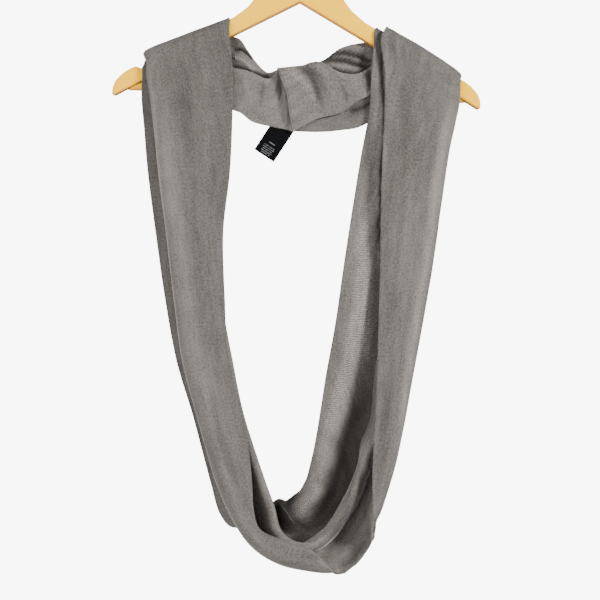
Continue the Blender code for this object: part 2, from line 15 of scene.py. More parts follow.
import bpy
import numpy as np
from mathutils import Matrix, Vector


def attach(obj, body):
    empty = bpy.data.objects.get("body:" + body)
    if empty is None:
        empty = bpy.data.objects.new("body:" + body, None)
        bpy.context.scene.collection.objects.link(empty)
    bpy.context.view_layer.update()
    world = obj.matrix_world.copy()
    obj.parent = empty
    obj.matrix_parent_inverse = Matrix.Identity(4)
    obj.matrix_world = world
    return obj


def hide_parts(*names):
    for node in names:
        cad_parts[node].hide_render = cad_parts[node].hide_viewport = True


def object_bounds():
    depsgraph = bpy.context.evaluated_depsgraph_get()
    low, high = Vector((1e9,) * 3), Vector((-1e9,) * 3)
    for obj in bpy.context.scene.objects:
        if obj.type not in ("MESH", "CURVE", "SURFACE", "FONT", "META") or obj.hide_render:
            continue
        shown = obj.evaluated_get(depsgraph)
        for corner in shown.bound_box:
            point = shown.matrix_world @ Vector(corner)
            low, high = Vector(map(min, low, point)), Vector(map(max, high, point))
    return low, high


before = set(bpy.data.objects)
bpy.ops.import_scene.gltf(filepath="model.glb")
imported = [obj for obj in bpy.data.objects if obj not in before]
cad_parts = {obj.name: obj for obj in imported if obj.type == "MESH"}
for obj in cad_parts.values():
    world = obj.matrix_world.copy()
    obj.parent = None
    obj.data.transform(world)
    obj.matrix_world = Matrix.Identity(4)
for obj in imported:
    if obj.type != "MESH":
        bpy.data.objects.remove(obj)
CAD_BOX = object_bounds()

log = logging.getLogger("scarf")
MM = 0.001
TURN = 2.0 * math.pi
Colour = tuple[float, float, float]
Point = tuple[float, float, float]
Spot = tuple[float, float]     # a place on the flat cloth, across and along, in mm
Socket = bpy.types.NodeSocket
Value = Socket | float         # what a node's input takes
Tint = Socket | Colour
BACK: Point = (0.0, 1.0, 0.0)
FRONT: Point = (0.0, -1.0, 0.0)
CAP_RINGS = (0.6, 0.9)         # how far out a tube's two end rings stand, in radii


class Side(Enum):
    """The two sides of single jersey."""

    FACE = "plain side, rows of small V stitches"
    REVERSE = "purl side, low ridges across the band"


# ---------------------------------------------------------------- the hanger's sizes
@dataclass(frozen=True)
class HangerSizes:
    """Named sizes of the hanger in mm and degrees, level before it is turned."""

    tilt: float = 2.2                              # of the whole hanger, about the hook
    arm_thick: float = 13.0
    arm_round: float = 4.0                         # of the arms' long edges
    slope: float = 28.6                            # of an arm's top edge
    low_slope: float = 28.7                        # and of its underside
    top_at: tuple[float, float] = (80.0, -129.0)   # where the straight top edge starts
    low_at: float = -108.0                         # the underside's middle
    neck_top: float = -64.0
    bar_radius: float = 5.5
    bar_height: float = -215.5
    bar_socket: float = 201.0                      # from the middle to the bar's end
    hook_wire: float = 3.4
    hook_bend: float = 22.0                        # the crook's inner radius
    cloth_high: float = 6.0   # how far below an arm's crest the cloth meets its side
    cloth_low: float = 5.0    # and how far above the underside it leaves it
    crest_turn: float = 45.0  # the angle at which it lies on the rounded edge

    def hung(self, x: float, y: float, z: float) -> Point:
        """A point of the level hanger, turned with it about the hook."""
        turn = math.radians(self.tilt)
        return (
            x * math.cos(turn) + z * math.sin(turn),
            y,
            z * math.cos(turn) - x * math.sin(turn),
        )

    def arm_top(self, x: float) -> float:
        """Height of an arm's top edge at x: a straight line down from top_at."""
        return self.top_at[1] - (abs(x) - self.top_at[0]) * math.tan(math.radians(self.slope))

    def arm_low(self, x: float) -> float:
        """Height of an arm's underside at x: a straight line down from the middle."""
        return self.low_at - abs(x) * math.tan(math.radians(self.low_slope))

    def on_arm(self, x: float, lift: float, phase: int) -> Point:
        """A point of cloth lying on an arm.

        Args:
            x: distance along the arm, signed.
            lift: distance from the wood.
            phase: where round the arm: 3 low on the back, 2 high on it, 1 on the back
                rounded edge, 0 on the crest, and below zero the same at the front.

        Returns:
            The point in mm, turned with the hanger.
        """
        side = 1.0 if phase > 0 else -1.0
        half = self.arm_thick / 2
        slope = math.radians(self.slope)
        if abs(phase) == 3:
            return self.hung(x, side * (half + lift), self.arm_low(x) + self.cloth_low)
        if abs(phase) == 2:
            return self.hung(x, side * (half + lift), self.arm_top(x) - self.cloth_high)
        rise, y = lift, 0.0
        if phase:
            reach = (self.arm_round + lift) * math.sin(math.radians(self.crest_turn))
            rise = reach - self.arm_round
            y = side * (half - self.arm_round + reach)
        out = math.copysign(math.sin(slope), x)
        return self.hung(x + out * rise, y, self.arm_top(x) + math.cos(slope) * rise)


HANGER = HangerSizes()


# ---------------------------------------------------------------- the band's sections
class Section(NamedTuple):
    """One section across the band, from its front edge to its back edge, in mm."""

    name: str
    radii: tuple[float, float, float]   # of the outer fold, the inner fold, the valley
    stack: Point                        # from the front layer to the layers behind it
    edge_a: Point
    belly: Point                        # of the front layer, halfway
    outer: Point
    inner: Point
    valley: Point
    edge_b: Point
    hollow: tuple[float, ...] = ()   # of the layer between the folds, where it sinks
    crest: tuple[float, ...] = ()    # of the layer behind the valley, where it turns


class Lay(NamedTuple):
    """How the layers lie on one arm: along the arm and off the wood."""

    edge_a: tuple[float, float]
    belly: tuple[float, float]
    outer: tuple[float, float]
    inner: tuple[float, float]
    valley: tuple[float, float]
    edge_b: tuple[float, float]


# a lay for the arm's back, its top and its front
LEFT_BACK = Lay((-87, 4.6), (-136, 9.4), (-182, 8.6), (-125, 4.4), (-155, 2.2), (-184, 2.0))
LEFT_LAY = Lay((-84, 2.2), (-136, 8.4), (-182, 8.6), (-128, 3.9), (-155, 2.0), (-183, 2.0))
LEFT_FACE = Lay((-84, 3.5), (-134, 9.4), (-180, 8.6), (-126, 4.6), (-155, 2.4), (-186, 2.0))
RIGHT_BACK = Lay((101.5, 8.6), (140, 10.6), (190, 5.0), (127, 6.2), (146, 3.2), (98, 1.7))
RIGHT_LAY = Lay((101.5, 9.2), (146, 10.2), (196, 4.2), (130, 6.1), (149, 3.2), (92.6, 1.7))
RIGHT_FACE = Lay((99.5, 10.4), (146, 11.4), (196, 4.8), (129, 6.9), (147, 3.7), (91, 2.0))
LEFT_LAYS = (LEFT_BACK, LEFT_LAY, LEFT_FACE)
RIGHT_LAYS = (RIGHT_BACK, RIGHT_LAY, RIGHT_FACE)
LEFT_RADII = (2.8, 1.6, 0.0)
RIGHT_RADII = (1.9, 1.3, 1.15)

# the band's two ends, where the seam joins them
SEAM = ((-27, -7.6, -187), (-19, -9, -225), (-13, -11.1, -263), (-30, -16.8, -190.5),
        (-18.5, -19, -219), (-12.5, -19.4, -264.5))

NECK_LEFT = (
    Section("neck_l0", (2, 1.8, 0), FRONT, *SEAM),
    Section("neck_l0s", (2, 1.8, 0), FRONT, (-34, -7, -190.5), (-27, -8.3, -225), (-21.5, -10.8, -260),
            (-36.5, -14.3, -199), (-27, -16.2, -229), (-20, -16.8, -262)),
    Section("neck_l1", (2, 1.8, 0), FRONT, (-45, -7, -192), (-44, -8.2, -222), (-43, -10.8, -254),
            (-45, -14.4, -201), (-42, -16.8, -229), (-40, -17, -258)),
    Section("neck_l2", (2, 1.8, 0), FRONT, (-64, -5.5, -171), (-63, -8.2, -209), (-62, -10.8, -247),
            (-64, -14, -193), (-63, -16.2, -223), (-62, -16.5, -252)),
    Section("neck_l3", (2, 1.8, 0), FRONT, (-75, 1, -153), (-75, -7.6, -196), (-75, -10.8, -237),
            (-76, -13.8, -190), (-75, -16, -215), (-75, -16.4, -242)),
    Section("neck_l4", (2, 1.8, 0), FRONT, (-85, 9.5, -147), (-87, -5.5, -192), (-89, -10.8, -229),
            (-89, -13.4, -187), (-89, -15.6, -210), (-89, -16, -235)),
    Section("over_l", (2.4, 2, 0), (0, -0.8, 0.5), (-88, 10.5, -148), (-101, -3, -190),
            (-117, -10.5, -211), (-99, -9, -178), (-106, -13, -192), (-113, -16, -204)),
    Section("under_l", (2.8, 2.2, 0), (0, -0.5, 1), (-90, 12, -150), (-112, 10, -181), (-134, -1, -201),
            (-103, 4, -172), (-115, -1, -180), (-127, -5, -188)),
    Section("behind_l", (3, 2, 0), (0, -1, 0.3), (-92, 13.5, -150), (-128, 17.5, -180),
            (-170, 15.5, -203), (-116, 12, -169), (-140, 9.3, -184), (-168, 8.6, -198)),
)

DROP_LEFT = (
    Section("drop_l1", (2.6, 1.7, 0), BACK, (-85, -23.5, -190), (-134, -26.5, -206),
            (-183, -22.5, -222), (-119, -18.4, -199), (-151, -16.8, -211), (-194, -13, -224)),
    Section("drop_l2", (2.4, 1.7, 0), BACK, (-85, -26, -245), (-132, -28, -252), (-178, -24, -262),
            (-116, -21.2, -246), (-150, -17.5, -252), (-191, -12, -260)),
    Section("drop_l3", (2.4, 2, 0), BACK, (-88, -25, -312), (-130, -27, -312), (-173, -23, -312),
            (-109, -18, -312), (-143, -14, -312), (-187, -9, -311)),
    Section("drop_l4", (2.6, 2.4, 0), BACK, (-96, -24, -385), (-130, -27, -385), (-164, -22, -385),
            (-102, -16, -385), (-136, -10, -385), (-178, -5, -384)),
    Section("drop_l5", (3, 2.8, 0), BACK, (-94, -23, -470), (-124, -27, -470), (-154, -21, -470),
            (-97, -14, -470), (-129, -7, -470), (-166, -1, -470)),
    Section("drop_l6", (4, 3.5, 0), BACK, (-90, -25, -540), (-117, -30, -540), (-144, -23, -540),
            (-85, -13, -541), (-117, -4, -541), (-153, 3, -541)),
    Section("drop_l7", (5, 4.5, 0), BACK, (-73, -29, -602), (-100, -35, -602), (-127, -27, -603),
            (-72, -16, -603), (-104, 5, -605), (-134, 9, -606), hollow=(-96, -10, -603)),
    Section("drop_l8", (7, 5, 0), BACK, (-64, -36, -655), (-88, -43, -655), (-112, -33, -655),
            (-55, -19, -657), (-89, 11, -661), (-120, 15, -661), hollow=(-75, -9, -657)),
)

BEND = (
    Section("bend_1", (8, 5, 0), BACK, (-61, -44, -683), (-81, -51, -684), (-102, -38, -686),
            (-46, -23, -685), (-77, 15, -693), (-112, 19, -692), hollow=(-63, -9, -688)),
    Section("bend_2", (9, 5, 0), BACK, (-59, -52, -710), (-72, -60, -716), (-86, -46, -721),
            (-36, -29, -714), (-67, 18, -726), (-102, 23, -727), hollow=(-54, -8, -721)),
    Section("bend_3", (9, 5, 0), BACK, (-52, -60, -734), (-61, -68, -742), (-67, -54, -750),
            (-29.5, -35, -739), (-53, 20, -750), (-87, 27, -744), hollow=(-47, -16, -745)),
    Section("bend_4", (9, 5, 0), BACK, (-33, -66, -744), (-41, -74, -756), (-46, -60, -767),
            (-15, -41, -750), (-36, 19, -763), (-64, 35, -741)),
    Section("bend_5", (9, 5, 0), BACK, (-13, -69, -749), (-18, -77, -763), (-22, -62, -778),
            (-1, -46, -754), (-11, 18, -766), (-46, 40, -724)),
    Section("bend_6", (7, 5, 0), BACK, (9, -69, -758), (5, -75, -770), (1, -60, -783),
            (10.6, -48, -754), (7, 20, -758), (-34, 40, -713)),
    Section("bend_7", (4, 5, 0), BACK, (26, -67, -774), (24, -66, -780), (21, -58, -786),
            (19.5, -46, -750), (17, 21, -751), (-28, 36, -711), hollow=(22, -16, -765),
            crest=(-12, 16, -736)),
    Section("bend_8", (1, 5, 0), BACK, (36, -63, -786), (36, -60, -786.5), (36, -54, -786),
            (27.2, -44, -744), (25.2, 23, -745.5), (-24, 32, -712), hollow=(32.6, -9, -758.5),
            crest=(-11, 5, -730)),
    Section("bend_9", (0, 5, 0), BACK, (44, -48, -789.5), (43.5, -49, -787.5), (43, -51, -784),
            (33.2, -42, -737.7), (30.7, 24, -738.7), (-21, 23, -711.5), hollow=(41, -5, -752),
            crest=(-4, -1, -721.5)),
    Section("bend_10", (-1, 5, 0), BACK, (52, -37, -787.5), (52.5, -41, -786), (52.5, -47, -782),
            (38, -40, -731.5), (35.5, 25, -732.5), (-17, 15, -708), hollow=(47, -3, -745),
            crest=(2, -3, -714)),
    Section("bend_11", (-3, 5, 0), BACK, (57, -24, -780), (60, -33, -781.5), (61.5, -45, -779),
            (41.5, -38, -725.8), (39, 25, -726.8), (-12, 12, -704), hollow=(52, -2, -738.5),
            crest=(9, -5, -707.5)),
    Section("bend_12", (-4, 5, 0), BACK, (70, -21, -760), (75, -31, -760.5), (78.5, -43, -757),
            (51.7, -36, -708.3), (48.7, 26, -709.3), (-4, 11, -698), hollow=(64.8, 1, -720),
            crest=(16, -6, -694)),
    Section("bend_13", (-1, 5, 0), BACK, (83, -29, -752), (82.5, -34, -751), (81.5, -40.5, -748),
            (55.8, -35, -700.7), (52.8, 26, -701.7), (-1, 10, -693), hollow=(69, 2, -712),
            crest=(18.5, -6, -687.5)),
    Section("bend_14", (0, 5, 0), BACK, (84.5, -42, -740), (84, -42, -739), (82, -41, -736.5),
            (59, -34, -693.7), (56, 26, -694.7), (1, 9, -689), hollow=(72, 3, -704.6),
            crest=(20.5, -7, -682)),
    Section("bend_15", (1, 5, 0), BACK, (84.5, -53, -729), (85.5, -48, -729), (85.5, -41, -728),
            (62.5, -32, -685.6), (59.5, 26, -686.6), (3, 8, -685), hollow=(75, 3, -696),
            crest=(22.5, -7, -676)),
    Section("bend_16", (3, 5, 0), BACK, (82, -53, -716), (87.5, -50, -717), (91, -40, -718),
            (66, -30, -677), (63, 26, -678), (5, 7, -679), hollow=(78, 4, -687), crest=(25, -8, -669)),
    Section("bend_17", (5, 5, 0), BACK, (82, -51, -701), (91, -51, -702), (96.5, -38, -703),
            (70.7, -28, -665.2), (66.7, 25, -666.2), (7, 6, -671), hollow=(82.5, 5, -674.6),
            crest=(27.5, -8, -660)),
)

DROP_RIGHT = (
    Section("drop_r1", (7, 5, 0), BACK, (82, -46, -667), (97, -48, -667), (108, -33, -668),
            (78.3, -24, -645.3), (70, 22, -640), (12, 5, -650), hollow=(87, 5, -651.6),
            crest=(32, -9, -641)),
    Section("drop_r2", (6, 4, 0), BACK, (85, -38, -620), (103, -40, -620), (119, -27, -621),
            (95, -20, -616), (81, 18, -612), (19, 3, -612), hollow=(104, 1, -618.5),
            crest=(41, -9, -610)),
    Section("drop_r3", (5, 3.5, 0), BACK, (88, -31, -561), (110, -33, -561), (130, -22, -562),
            (104, -13, -560), (86, 12.5, -560), (27, -2, -560), hollow=(115, -3, -561),
            crest=(53, -11, -560)),
    Section("drop_r4", (4, 3, 1), BACK, (90, -27, -493), (117, -29, -492), (143, -20, -491),
            (111, -8, -492), (97, 3.5, -492), (39, -6, -493), crest=(70, -12, -493)),
    Section("drop_r5", (3, 2.5, 1.5), BACK, (92, -25, -425), (124, -27, -424), (155, -19, -423),
            (116, -12, -423), (112, -4, -423), (49, -11, -423), crest=(80, -13.5, -423)),
    Section("drop_r6", (2.5, 2, 1.5), BACK, (93, -25, -353), (129, -27, -352), (165, -20, -351),
            (118, -15, -352), (131, -9, -352), (60, -9, -352)),
    Section("drop_r7", (2.2, 1.7, 1.4), BACK, (95, -26, -290), (135, -28, -290), (174, -22, -290),
            (120, -19, -289), (135, -15.5, -289), (70, -14.5, -290)),
    Section("drop_r8", (2.2, 1.3, 1.2), BACK, (97, -28, -242), (139, -30, -250), (180.5, -25, -258),
            (121, -23.8, -244), (137, -21, -248), (79, -19.4, -240)),
    Section("drop_r9", (2.2, 1.3, 1.1), BACK, (97.5, -27.5, -194), (142, -29, -210), (186, -21, -232),
            (122, -23.4, -202), (139, -20.8, -211), (82, -19.6, -192)),
)

NECK_RIGHT = (
    Section("behind_r", (2.6, 1.6, 1.2), (0, -1, 0.3), (94, 15.6, -164), (124, 19, -188),
            (163, 15.5, -214), (117, 13.4, -182), (134, 10.6, -192), (104, 8.8, -172)),
    Section("under_r", (2.8, 2, 1.2), (0, -0.5, 1), (89, 14, -161), (106, 11, -189), (125, -1, -207),
            (100, 4.6, -181), (110, -1.5, -188), (104, -5, -181)),
    Section("over_r", (2.4, 2, 0.8), (0, -0.8, 0.5), (86.5, 12, -157), (95, -2.5, -197),
            (109, -10.5, -219), (93, -7.8, -182), (99, -11.8, -190), (97.6, -16.4, -190.5)),
    Section("front_r", (2.2, 2, 0.6), (0, -1, 0.2), (85.5, 10.6, -155), (89, -4.5, -200),
            (96, -10.8, -232), (88, -12, -183), (91, -14, -193), (91, -17, -200)),
    Section("neck_r4", (2, 1.8, 0), FRONT, (84, 9.5, -153.5), (84.5, -5.5, -201), (85, -10.8, -246),
            (84, -13.6, -184), (85, -16, -199), (84, -16.6, -216)),
    Section("neck_r3", (2, 1.8, 0), FRONT, (68, 6, -155.5), (67.5, -7, -206), (67, -10.8, -258),
            (66, -14, -195), (65, -16.2, -212), (65, -16.7, -228)),
    Section("neck_r2", (2, 1.8, 0), FRONT, (45, -4.5, -163), (44.5, -8.2, -212), (44, -10.8, -262),
            (45, -14, -194), (44, -16.6, -219), (44, -17, -242)),
    Section("neck_r1", (2, 1.8, 0), FRONT, (19, -7.5, -180), (19, -8.6, -222), (19, -11.2, -264),
            (19, -14.5, -182), (17, -17.2, -217), (17, -17.7, -249)),
    Section("neck_r0", (2, 1.9, 0), FRONT, *SEAM),
)


# the control columns across the band where its two folds are
OUTER_FOLD = 3
INNER_FOLD = 7


# ---------------------------------------------------------------- small maths
def unit(vectors: np.ndarray) -> np.ndarray:
    """Each vector at length one."""
    return vectors / np.maximum(np.linalg.norm(vectors, axis=-1, keepdims=True), 1e-9)


def spline(points: np.ndarray, knots: np.ndarray, at: np.ndarray) -> np.ndarray:
    """A smooth curve through points, read at the given knot values.

    Between two points it is the cubic whose slope at each is the mean of the two
    rates beside it, weighted by the other interval's length.

    Args:
        points: the points along axis 0, with any further axes.
        knots: the knot value of each point.
        at: the values to read.

    Returns:
        The curve's points, one for each value.
    """
    shape = (-1,) + (1,) * (points.ndim - 1)
    steps = np.diff(knots).reshape(shape)
    rates = np.diff(points, axis=0) / steps
    slopes = np.empty_like(points)
    slopes[0], slopes[-1] = rates[0], rates[-1]
    slopes[1:-1] = (rates[:-1] * steps[1:] + rates[1:] * steps[:-1]) / (steps[1:] + steps[:-1])
    i = np.clip(np.searchsorted(knots, at, side="right") - 1, 0, len(points) - 2)
    t = ((at - knots[i]) / np.diff(knots)[i]).reshape(shape)
    span = steps[i]
    return (
        (2 * t**3 - 3 * t**2 + 1) * points[i]
        + (t**3 - 2 * t**2 + t) * span * slopes[i]
        + (3 * t**2 - 2 * t**3) * points[i + 1]
        + (t**3 - t**2) * span * slopes[i + 1]
    )


def fill(knots: np.ndarray, counts: Sequence[int]) -> np.ndarray:
    """The knots with counts even steps in each interval."""
    values = [knots[:1]]
    for start, end, count in zip(knots[:-1], knots[1:], counts):
        values.append(start + (end - start) * np.arange(1, count + 1) / count)
    return np.concatenate(values)


class Waves(NamedTuple):
    """Low uneven waves on the cloth, with lengths that come from a seeded generator."""

    seed: int
    across: float    # mean wave number across the band, for each mm
    along: float     # and along the loop
    height: float    # mm
    count: int = 9

    def off(self, u: np.ndarray, v: np.ndarray) -> np.ndarray:
        """The waves' height: the sum of sine waves over the root of their count."""
        rng = np.random.default_rng(self.seed)
        total = np.zeros(u.shape)
        for _ in range(self.count):
            ku, kv = rng.normal(0.0, self.across), rng.normal(0.0, self.along)
            total += np.sin(u * ku + v * kv + rng.uniform(0.0, TURN))
        return total * self.height / math.sqrt(self.count)


def bell(away: np.ndarray, width: float) -> np.ndarray:
    """One at a line and fading to both sides: e to minus the square of away by width."""
    return np.exp(-((away / width) ** 2))


def grid_quads(index: np.ndarray, flip: bool = False) -> np.ndarray:
    """The quads of a grid of point numbers, turned over where flip is set."""
    first, below, across, beside = index[:-1, :-1], index[1:, :-1], index[1:, 1:], index[:-1, 1:]
    corners = (first, beside, across, below) if flip else (first, below, across, beside)
    return np.stack(corners, -1).reshape(-1, 4)


def new_mesh(name: str, points: np.ndarray, faces: Sequence[Sequence[int]],
             smooth: bool = True) -> bpy.types.Object:
    """A mesh object of points in metres and faces, linked to the scene.

    Args:
        name: the piece's name.
        points: an array of points, in metres.
        faces: each face's point numbers.
        smooth: whether the faces are shaded smooth.

    Returns:
        The new object, at the origin.
    """
    mesh = bpy.data.meshes.new(name)
    mesh.from_pydata(np.asarray(points).reshape(-1, 3).tolist(), [], [list(f) for f in faces])
    mesh.polygons.foreach_set("use_smooth", [smooth] * len(mesh.polygons))
    mesh.update()
    made = bpy.data.objects.new(name, mesh)
    bpy.context.scene.collection.objects.link(made)
    return made


def set_uv(made: bpy.types.Object, uv: np.ndarray) -> None:
    """Gives each corner of the mesh its point's place on the cloth, in metres."""
    mesh = made.data
    layer = mesh.uv_layers.new(name="cloth")
    corner = np.empty(len(mesh.loops), dtype=np.int32)
    mesh.loops.foreach_get("vertex_index", corner)
    layer.data.foreach_set("uv", uv[corner].astype(np.float32).ravel())


def set_value(made: bpy.types.Object, name: str, values: np.ndarray) -> None:
    """Gives each point of the mesh a number under the name."""
    layer = made.data.attributes.new(name, "FLOAT", "POINT")
    layer.data.foreach_set("value", values.astype(np.float32).ravel())


def tube(name: str, line: np.ndarray, radius: np.ndarray, sides: int) -> bpy.types.Object:
    """A round tube: a ring carried along a line, closed with rounded ends.

    Each ring stands square to the line, and its first point turns as little as it can
    from the ring before.

    Args:
        name: the piece's name.
        line: the points of its middle line, in mm.
        radius: the ring's radius at each point, in mm.
        sides: points in a ring.

    Returns:
        The tube's object.
    """
    way = unit(np.gradient(line, axis=0))
    across = np.empty_like(way)
    first = np.cross(way[0], BACK)
    # a line that starts along y has no square to it there, so x is taken
    across[0] = unit(first if np.linalg.norm(first) > 0.1 else np.cross(way[0], (1.0, 0.0, 0.0)))
    for k in range(1, len(line)):
        across[k] = unit(across[k - 1] - way[k] * float(across[k - 1] @ way[k]))
    up = np.cross(way, across)
    turn = np.arange(sides) * TURN / sides
    ring = (across[:, None] * np.cos(turn)[None, :, None]
            + up[:, None] * np.sin(turn)[None, :, None])
    rings = line[:, None] + ring * radius[:, None, None]
    caps = []
    for k, sign in ((0, -1.0), (-1, 1.0)):
        for share in CAP_RINGS:
            wide = math.sqrt(1.0 - share * share)
            caps.append(line[k] + ring[k] * radius[k] * wide + way[k] * sign * share * radius[k])
    body = np.concatenate([[caps[1], caps[0]], rings, [caps[2], caps[3]]])
    index = np.arange(len(body) * sides).reshape(-1, sides)
    after = np.roll(index, -1, axis=1)
    quads = np.stack([index[:-1], after[:-1], after[1:], index[1:]], -1).reshape(-1, 4)
    faces = [*quads.tolist(), index[0][::-1].tolist(), index[-1].tolist()]
    return new_mesh(name, body.reshape(-1, 3) * MM, faces)


# ---------------------------------------------------------------- finishes
class Graph:
    """A material's nodes, with short calls to add and join them."""

    def __init__(self, name: str) -> None:
        """Starts a material of the name with its shader."""
        self.material = bpy.data.materials.new(name)
        self.material.use_nodes = True
        self.tree = self.material.node_tree
        self.shader = self.tree.nodes["Principled BSDF"]

    def node(self, kind: str, inputs: dict | None = None, **settings: object) -> bpy.types.Node:
        """Adds a node, sets its properties and sets or joins its inputs."""
        made = self.tree.nodes.new(kind)
        for key, value in settings.items():
            setattr(made, key, value)
        for key, value in (inputs or {}).items():
            self.join(value, made.inputs[key])
        return made

    def join(self, value: Value | tuple, socket: Socket) -> None:
        """Joins an output to the socket, or sets the socket to the value."""
        if isinstance(value, Socket):
            self.tree.links.new(value, socket)
        else:
            socket.default_value = value

    def math(self, operation: str, *values: Value) -> Socket:
        """The result of one arithmetic step on outputs or numbers."""
        made = self.node("ShaderNodeMath", operation=operation)
        for value, socket in zip(values, made.inputs):
            self.join(value, socket)
        return made.outputs[0]

    def vector(self, x: Value, y: Value, z: Value) -> Socket:
        """A vector of three outputs or numbers."""
        return self.node("ShaderNodeCombineXYZ", {"X": x, "Y": y, "Z": z}).outputs[0]

    def noise(self, vector: Socket, scale: float = 1.0, detail: float = 2.0,
              rough: float = 0.5) -> Socket:
        """Soft noise at the vector, about 0 to 1."""
        made = self.node("ShaderNodeTexNoise", {"Vector": vector, "Scale": scale,
                                                "Detail": detail, "Roughness": rough})
        return made.outputs["Fac"]

    def blend(self, share: Value, first: Tint, second: Tint) -> Socket:
        """The mix of two colours."""
        made = self.node("ShaderNodeMix", data_type="RGBA")
        self.join(share, made.inputs[0])
        for value, socket in zip((first, second), (made.inputs[6], made.inputs[7])):
            self.join(value if isinstance(value, Socket) else (*value, 1.0), socket)
        return made.outputs[2]

    def bump(self, height: Socket, distance: float, strength: float = 1.0) -> None:
        """Gives the shader a bump of the height, in metres at height one."""
        made = self.node("ShaderNodeBump", {"Height": height, "Distance": distance,
                                            "Strength": strength})
        self.tree.links.new(made.outputs[0], self.shader.inputs["Normal"])

    def finish(self, colour: Tint, **sockets: float) -> bpy.types.Material:
        """Sets the colour and the shader's own sockets, and gives the material."""
        self.join(colour if isinstance(colour, Socket) else (*colour, 1.0),
                  self.shader.inputs["Base Color"])
        for key, value in sockets.items():
            self.join(value, self.shader.inputs[key.replace("_", " ")])
        return self.material


class Speckle(NamedTuple):
    """One layer of soft noise on the flat cloth, in wave numbers for each metre."""

    across: float
    along: float
    place: float             # its own slice of the noise
    detail: float = 2.0
    rough: float = 0.5
    strength: float = 1.0    # how much it changes the tone

    def on(self, g: Graph, u: Socket, v: Socket) -> Socket:
        """The layer's noise at a place of the cloth, about 0 to 1."""
        place = g.vector(g.math("MULTIPLY", u, self.across), g.math("MULTIPLY", v, self.along),
                         self.place)
        return g.noise(place, detail=self.detail, rough=self.rough)


class Knit(NamedTuple):
    """How one side of the jersey shows its stitches."""

    gain: float     # how pale its yarn is
    depth: float    # how much a stitch's height changes the tone
    bump: float     # the height itself, m


